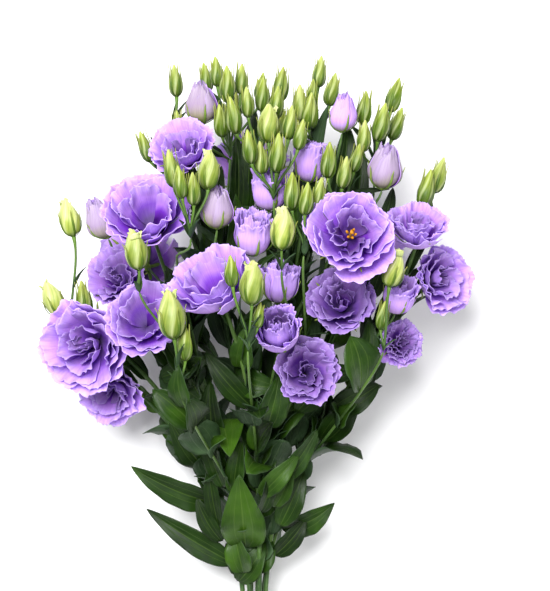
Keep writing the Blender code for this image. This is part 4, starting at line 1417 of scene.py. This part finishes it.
for foot, tip, facing, width, bulge, turn_up, tone in HAND_LEAVES:
    twist, droop = rng.uniform(-0.5, 0.5), rng.uniform(0, 8) * MM
    foot, tip = spot(*foot), spot(*tip)
    width, bulge = width * MM, bulge * MM
    sheet = blade(foot, tip, facing, width, bulge, turn_up, rng, (22, 13), twist, droop, 0.6)
    by_hand.append({**sheet, "tone": tone})
add_leaves("leaves_in_the_bunch", by_hand)
print("leaves set by hand:", len(by_hand))

# %% [markdown]
# ## The leaves along the stems
#
# The other leaves follow a rule, because there are hundreds and each looks much like the next. Along a
# stem's solid the long edges run with the stem, so a leaf can start on any of them and lean out from
# there, as a real one does from its node. Broad blunt leaves sit low on the stems, and they get slimmer
# towards the heads. A leaf that would cover a bloom or a bud, or stick out of the bunch, is left out.


# %% Helper: places for leaves on a stem
LONG_EDGE = 6 * MM  # shorter edges lie across the stem
LEAST_APART = 6 * MM  # between two leaves of one stem


def along_stem(node, count, low, high):
    """Up to `count` places on a stem's long edges between two heights along the bunch, picked at random
    and kept apart: the place, the way the stem runs and the way its skin looks."""
    work = merged_copy(node)
    found = []
    for edge in work.edges:
        a, b = (np.array(corner.co) for corner in edge.verts)
        if a[1] > b[1]:
            a, b = b, a
        if edge.calc_length() > LONG_EDGE and low < (a[1] + b[1]) / 2 < high:
            out = unit(edge.link_faces[0].normal + edge.link_faces[1].normal)
            found.append(((a + b) / 2, unit(b - a), out))
    work.free()
    found.sort(key=lambda item: tuple(np.round(item[0] / MM, 1)))
    picks = dice(node).permutation(len(found))
    kept = []
    for k in picks:
        place = found[k][0]
        if len(kept) < count and all(np.linalg.norm(place - other[0]) > LEAST_APART for other in kept):
            kept.append(found[k])
    return kept


print("places for leaves on stem_01:", len(along_stem("stem_01", 1000, -1.0, 1.0)))


# %% Helpers: leaves that don't belong
def hides_a_bloom(line):
    """True if any point of a line lies in a bloom, right above it, or in a bud."""
    for foot, axis, radius in bloom_places.values():
        away = line - foot
        height = away @ axis
        out = np.linalg.norm(away - np.outer(height, axis), axis=1)
        inside = (out < 1.05 * radius) & (height > 0.15 * radius) & (height < 1.3 * radius)
        rim = foot + axis * radius
        over = np.linalg.norm((line - rim)[:, :2], axis=1) < 0.95 * radius
        above = over & (line[:, 2] > rim[2] - 0.3 * radius)
        if (inside | above).any():
            return True
    for found, _, _ in sprays.values():
        for foot, axis, size in found:
            away = line - foot
            height = np.clip(away @ axis, 0, BUD_TIP * size * MM)
            if (np.linalg.norm(away - np.outer(height, axis), axis=1) < 6 * size * MM).any():
                return True
    return False


HEADS_BEGIN = spot(0, 40, 0)[1]
BOX_PLAY = 2 * MM
NEAR_A_BLOOM = 4 * MM  # from its rim, seen from above
NEAR_A_BUD = 16 * MM  # from its foot, seen from above
rims = np.array([foot + axis * radius for foot, axis, radius in bloom_places.values()])
rim_radii = np.array([radius for _, _, radius in bloom_places.values()])
bud_feet = np.array([foot for found, _, _ in sprays.values() for foot, _, _ in found])


def strays(points):
    """True if a leaf leaves the box of the bunch, or if its tip is up among the heads with no bloom or
    bud near it."""
    low, high = np.array(cad_box)
    if (points < low - [BOX_PLAY, BOX_PLAY, 0]).any() or (points > high + BOX_PLAY).any():
        return True
    tip = points[-1].mean(axis=0)
    if tip[1] < HEADS_BEGIN:
        return False
    to_bloom = np.linalg.norm((rims - tip)[:, :2], axis=1) - rim_radii
    to_bud = np.linalg.norm((bud_feet - tip)[:, :2], axis=1)
    return to_bloom.min() > NEAR_A_BLOOM and to_bud.min() > NEAR_A_BUD


print("blooms and buds that leaves keep clear of:", len(rims), len(bud_feet))

# %% Make the leaves along the stems
# how many, from and to what height (mm), length (mm), width as a share of length, lean, bluntness
LEAF_GROUPS = [
    (26, -126, 40, (26, 50), (0.50, 0.76), (0.10, 0.8), 0.8),
    (20, -20, 100, (26, 48), (0.40, 0.62), (0.10, 0.7), 0.6),
    (22, 40, 190, (38, 66), (0.26, 0.38), (0.05, 0.5), 0.4),
    (46, 60, 250, (26, 52), (0.18, 0.28), (0.05, 0.5), 0.0),
    (40, 70, 215, (44, 84), (0.15, 0.24), (0.00, 0.40), 0.1),
]


def leafy_stem(node, count, low, high, lengths, slimness, leans, blunt):
    """Leaves on a stem, each from a long edge of its solid. A leaf runs along the stem plus `leans` times
    the way out from it, and its upper face looks back along the stem."""
    rng = dice(f"{node} {count} {low}")
    found = []
    for place, way, out in along_stem(node, count, spot(0, low, 0)[1], spot(0, high, 0)[1]):
        length = rng.uniform(*lengths) * MM
        lean = unit(way + out * rng.uniform(*leans))
        facing = unit(way - lean * (way @ lean) + 0.15 * out)
        tip = place + lean * length
        tip[2] = max(tip[2], 4 * MM)
        width = length * rng.uniform(*slimness)
        twist, droop = rng.uniform(-0.9, 0.9), rng.uniform(-0.1, 0.25) * length
        foot = place - out * 0.6 * MM
        sheet = blade(foot, tip, facing, width, length * 0.10, 0.22, rng, (11, 7), twist, droop, blunt)
        sheet["tone"] = 0.8 * sheet["tone"]
        if not strays(sheet["points"]) and not hides_a_bloom(sheet["points"][3:, ::3].reshape(-1, 3)):
            found.append(sheet)
    return found


for node in stem_nodes:
    leafy = [sheet for group in LEAF_GROUPS for sheet in leafy_stem(node, *group)]
    add_leaves(f"{node}_leaves", leafy)
    print(node, "leaves:", len(leafy))

# %% [markdown]
# ## The bracts
#
# Where the stalks of a spray leave their stem sits a pair of bracts, and narrow leaves sit along the
# stalks. They are what makes the upper part of a bunch look fine and feathery. They could share the rule
# of the stems, but stalks are thin and have paths of their own, so each starts at a point of such a path.


# %% Make the bracts of every spray, and the narrow leaves along its stalks
LEAVES_OF_A_STALK = 4


def small_leaf(foot, way, out, length, slimness, rng):
    """A narrow leaf from `foot` along `out`, whose upper face looks along `way`."""
    facing = unit(way - out * (way @ out))
    return blade(foot, foot + out * length, facing, length * slimness, length * 0.08, 0.3, rng, (9, 5))


bracts = []
for node, (found, start, way) in sprays.items():
    rng = dice(node + " pair")
    across, up = square_to(way)
    turn = rng.uniform(0, math.pi)
    for side in (-1, 1):
        out = side * (math.cos(turn) * across + math.sin(turn) * up)
        length = rng.uniform(12, 19) * MM
        bracts.append(small_leaf(start - way * MM, way, unit(way + 0.75 * out), length, 0.32, rng))
    for path in stalk_paths[node]:
        for k in rng.choice(np.arange(1, 9), LEAVES_OF_A_STALK, replace=False):
            along = unit(path[k + 1] - path[k - 1])
            across, up = square_to(along)
            turn = rng.uniform(0, 2 * math.pi)
            out = unit(along + rng.uniform(0.15, 0.6) * (math.cos(turn) * across + math.sin(turn) * up))
            length, slimness = rng.uniform(14, 34) * MM, rng.uniform(0.14, 0.26)
            leaf = small_leaf(path[k] - along * MM, along, out, length, slimness, rng)
            leaf["tone"] = 0.6 * leaf["tone"]
            if not strays(leaf["points"]) and not hides_a_bloom(leaf["points"][3:, 2]):
                bracts.append(leaf)
add_leaves("spray_bracts", bracts)
print("bracts:", len(bracts))

# %% [markdown]
# ## The rubber band
#
# Growers hold a bunch with a rubber band wound several times. Four rings would pass for it at a glance,
# but a wound band is one closed loop. Its thread runs round the bundle four times while it goes up and
# back down once, and where it crosses itself one turn lies on the other. So its path is a circle whose
# place along the bundle follows the sine of a quarter of the angle, and whose radius its cosine.


# %% The finish of the band
def band_finish():
    """Colour: tan rubber with slow patches; a dull, slightly chalky skin."""
    finish = Finish("band_rubber", Roughness=0.7, Specular_IOR_Level=0.35)
    patches = finish.noise(finish.place(), 240.0, 4.0)
    finish.set("Base Color", finish.colours(patches, (0.3, seen(170, 128, 84)), (0.7, seen(206, 166, 116))))
    finish.set("Roughness", finish.to(patches, 0.58, 0.80))
    finish.relief(patches, 0.1 * MM, 0.5)
    return finish.material


band_rubber = band_finish()
print("band finish:", band_rubber.name)

# %% Make the rubber band
WINDS = 4
POINTS_A_WIND = 40
BAND_RADIUS = 10.35  # mm, of the middle of its turns
BAND_CROSSING = 0.55  # mm that the turns lie inside and outside of that
BAND_CLIMB = 3.1  # mm up and down the bundle
BAND_THREAD = 0.62 * MM  # half its thickness
turn = np.linspace(0, WINDS * 2 * math.pi, WINDS * POINTS_A_WIND + 1)
across, up = square_to(UP_THE_BUNCH)
radius = (BAND_RADIUS + BAND_CROSSING * np.cos(turn / WINDS)) * MM
climb = BAND_CLIMB * MM * np.sin(turn / WINDS)
ring = np.outer(radius * np.cos(turn), across) + np.outer(radius * np.sin(turn), up)
band_path = band_box.mean(axis=0) + (ring + np.outer(climb, UP_THE_BUNCH))
loops = thread(band_path, BAND_THREAD, 8)[1:-1]  # its ends meet, so they need no poles
band = mesh_of("wound_band", [{"points": loops, "closed": True}], band_rubber)
stand_for(band, "rubber", "rubber_band")
print("band turns:", WINDS)

# %% [markdown]
# ## The floor
#
# The bunch lies on a plain pale floor. A surface with a grain would be prettier, but it would take the
# eye off the petals, and a pale one throws light back under them.

# %% The floor
REACH = 6  # metres to each side, so that its edge is out of sight
corners = [(-REACH, -REACH, 0), (REACH, -REACH, 0), (REACH, REACH, 0), (-REACH, REACH, 0)]
floor_mesh = bpy.data.meshes.new("floor")
floor_mesh.from_pydata(corners, [], [(0, 1, 2, 3)])
floor = bpy.data.objects.new("floor", floor_mesh)
bpy.context.scene.collection.objects.link(floor)
pale = Finish("pale_floor", Base_Color=(0.94, 0.94, 0.95, 1), Roughness=0.9, Specular_IOR_Level=0.1)
floor_mesh.materials.append(pale.material)
print("floor, metres wide:", 2 * REACH)

# %% [markdown]
# ## The light
#
# Petals want soft light: a small lamp draws hard shadows from one ruffle on the next. A large square lamp
# stands above the heads and a little behind them, a weaker one stands at the other side towards the cut
# ends, and a white world fills the shadows. The Standard view shows the violets as they are set.


# %% The lights
def lamp(name, place, aim, size, power):
    """A square area lamp at a place that looks at a point."""
    light = bpy.data.lights.new(name, "AREA")
    light.size, light.energy = size, power
    made = bpy.data.objects.new(name, light)
    made.location = place
    made.rotation_euler = Vector(np.subtract(aim, place)).to_track_quat("-Z", "Y").to_euler()
    bpy.context.scene.collection.objects.link(made)


HEADS = spot(0, 110, 120)
lamp("soft_key", HEADS + [-0.45, 0.7, 2.3], HEADS, size=1.2, power=120)
lamp("soft_fill", HEADS + [0.8, -1.2, 2.0], HEADS, size=1.8, power=20)
world = bpy.data.worlds.new("room")
world.use_nodes = True
world.node_tree.nodes["Background"].inputs["Color"].default_value = (1.0, 1.0, 1.0, 1.0)
world.node_tree.nodes["Background"].inputs["Strength"].default_value = 0.38
bpy.context.scene.world = world
bpy.context.scene.view_settings.view_transform = "Standard"
print("lamps over", np.round(HEADS / MM))

# %% [markdown]
# ## The camera
#
# The camera looks straight down on the bunch, with the heads up the picture. It stands far off with a
# long lens, because a near one would make the heads on top look larger than those beside them.

# %% The camera
CAMERA_HEIGHT = 2.4  # metres above the middle of the heads
SEEN_LENGTH = 0.4728  # metres of the bunch along the picture's long side
lens = bpy.data.cameras.new("camera")
lens.sensor_width = 36.0
lens.lens = lens.sensor_width * CAMERA_HEIGHT / SEEN_LENGTH
camera = bpy.data.objects.new("camera", lens)
camera.location = spot(20, 110, 120) + [0, 0, CAMERA_HEIGHT]
bpy.context.scene.collection.objects.link(camera)
bpy.context.scene.camera = camera
print("lens", round(lens.lens, 1), "mm")
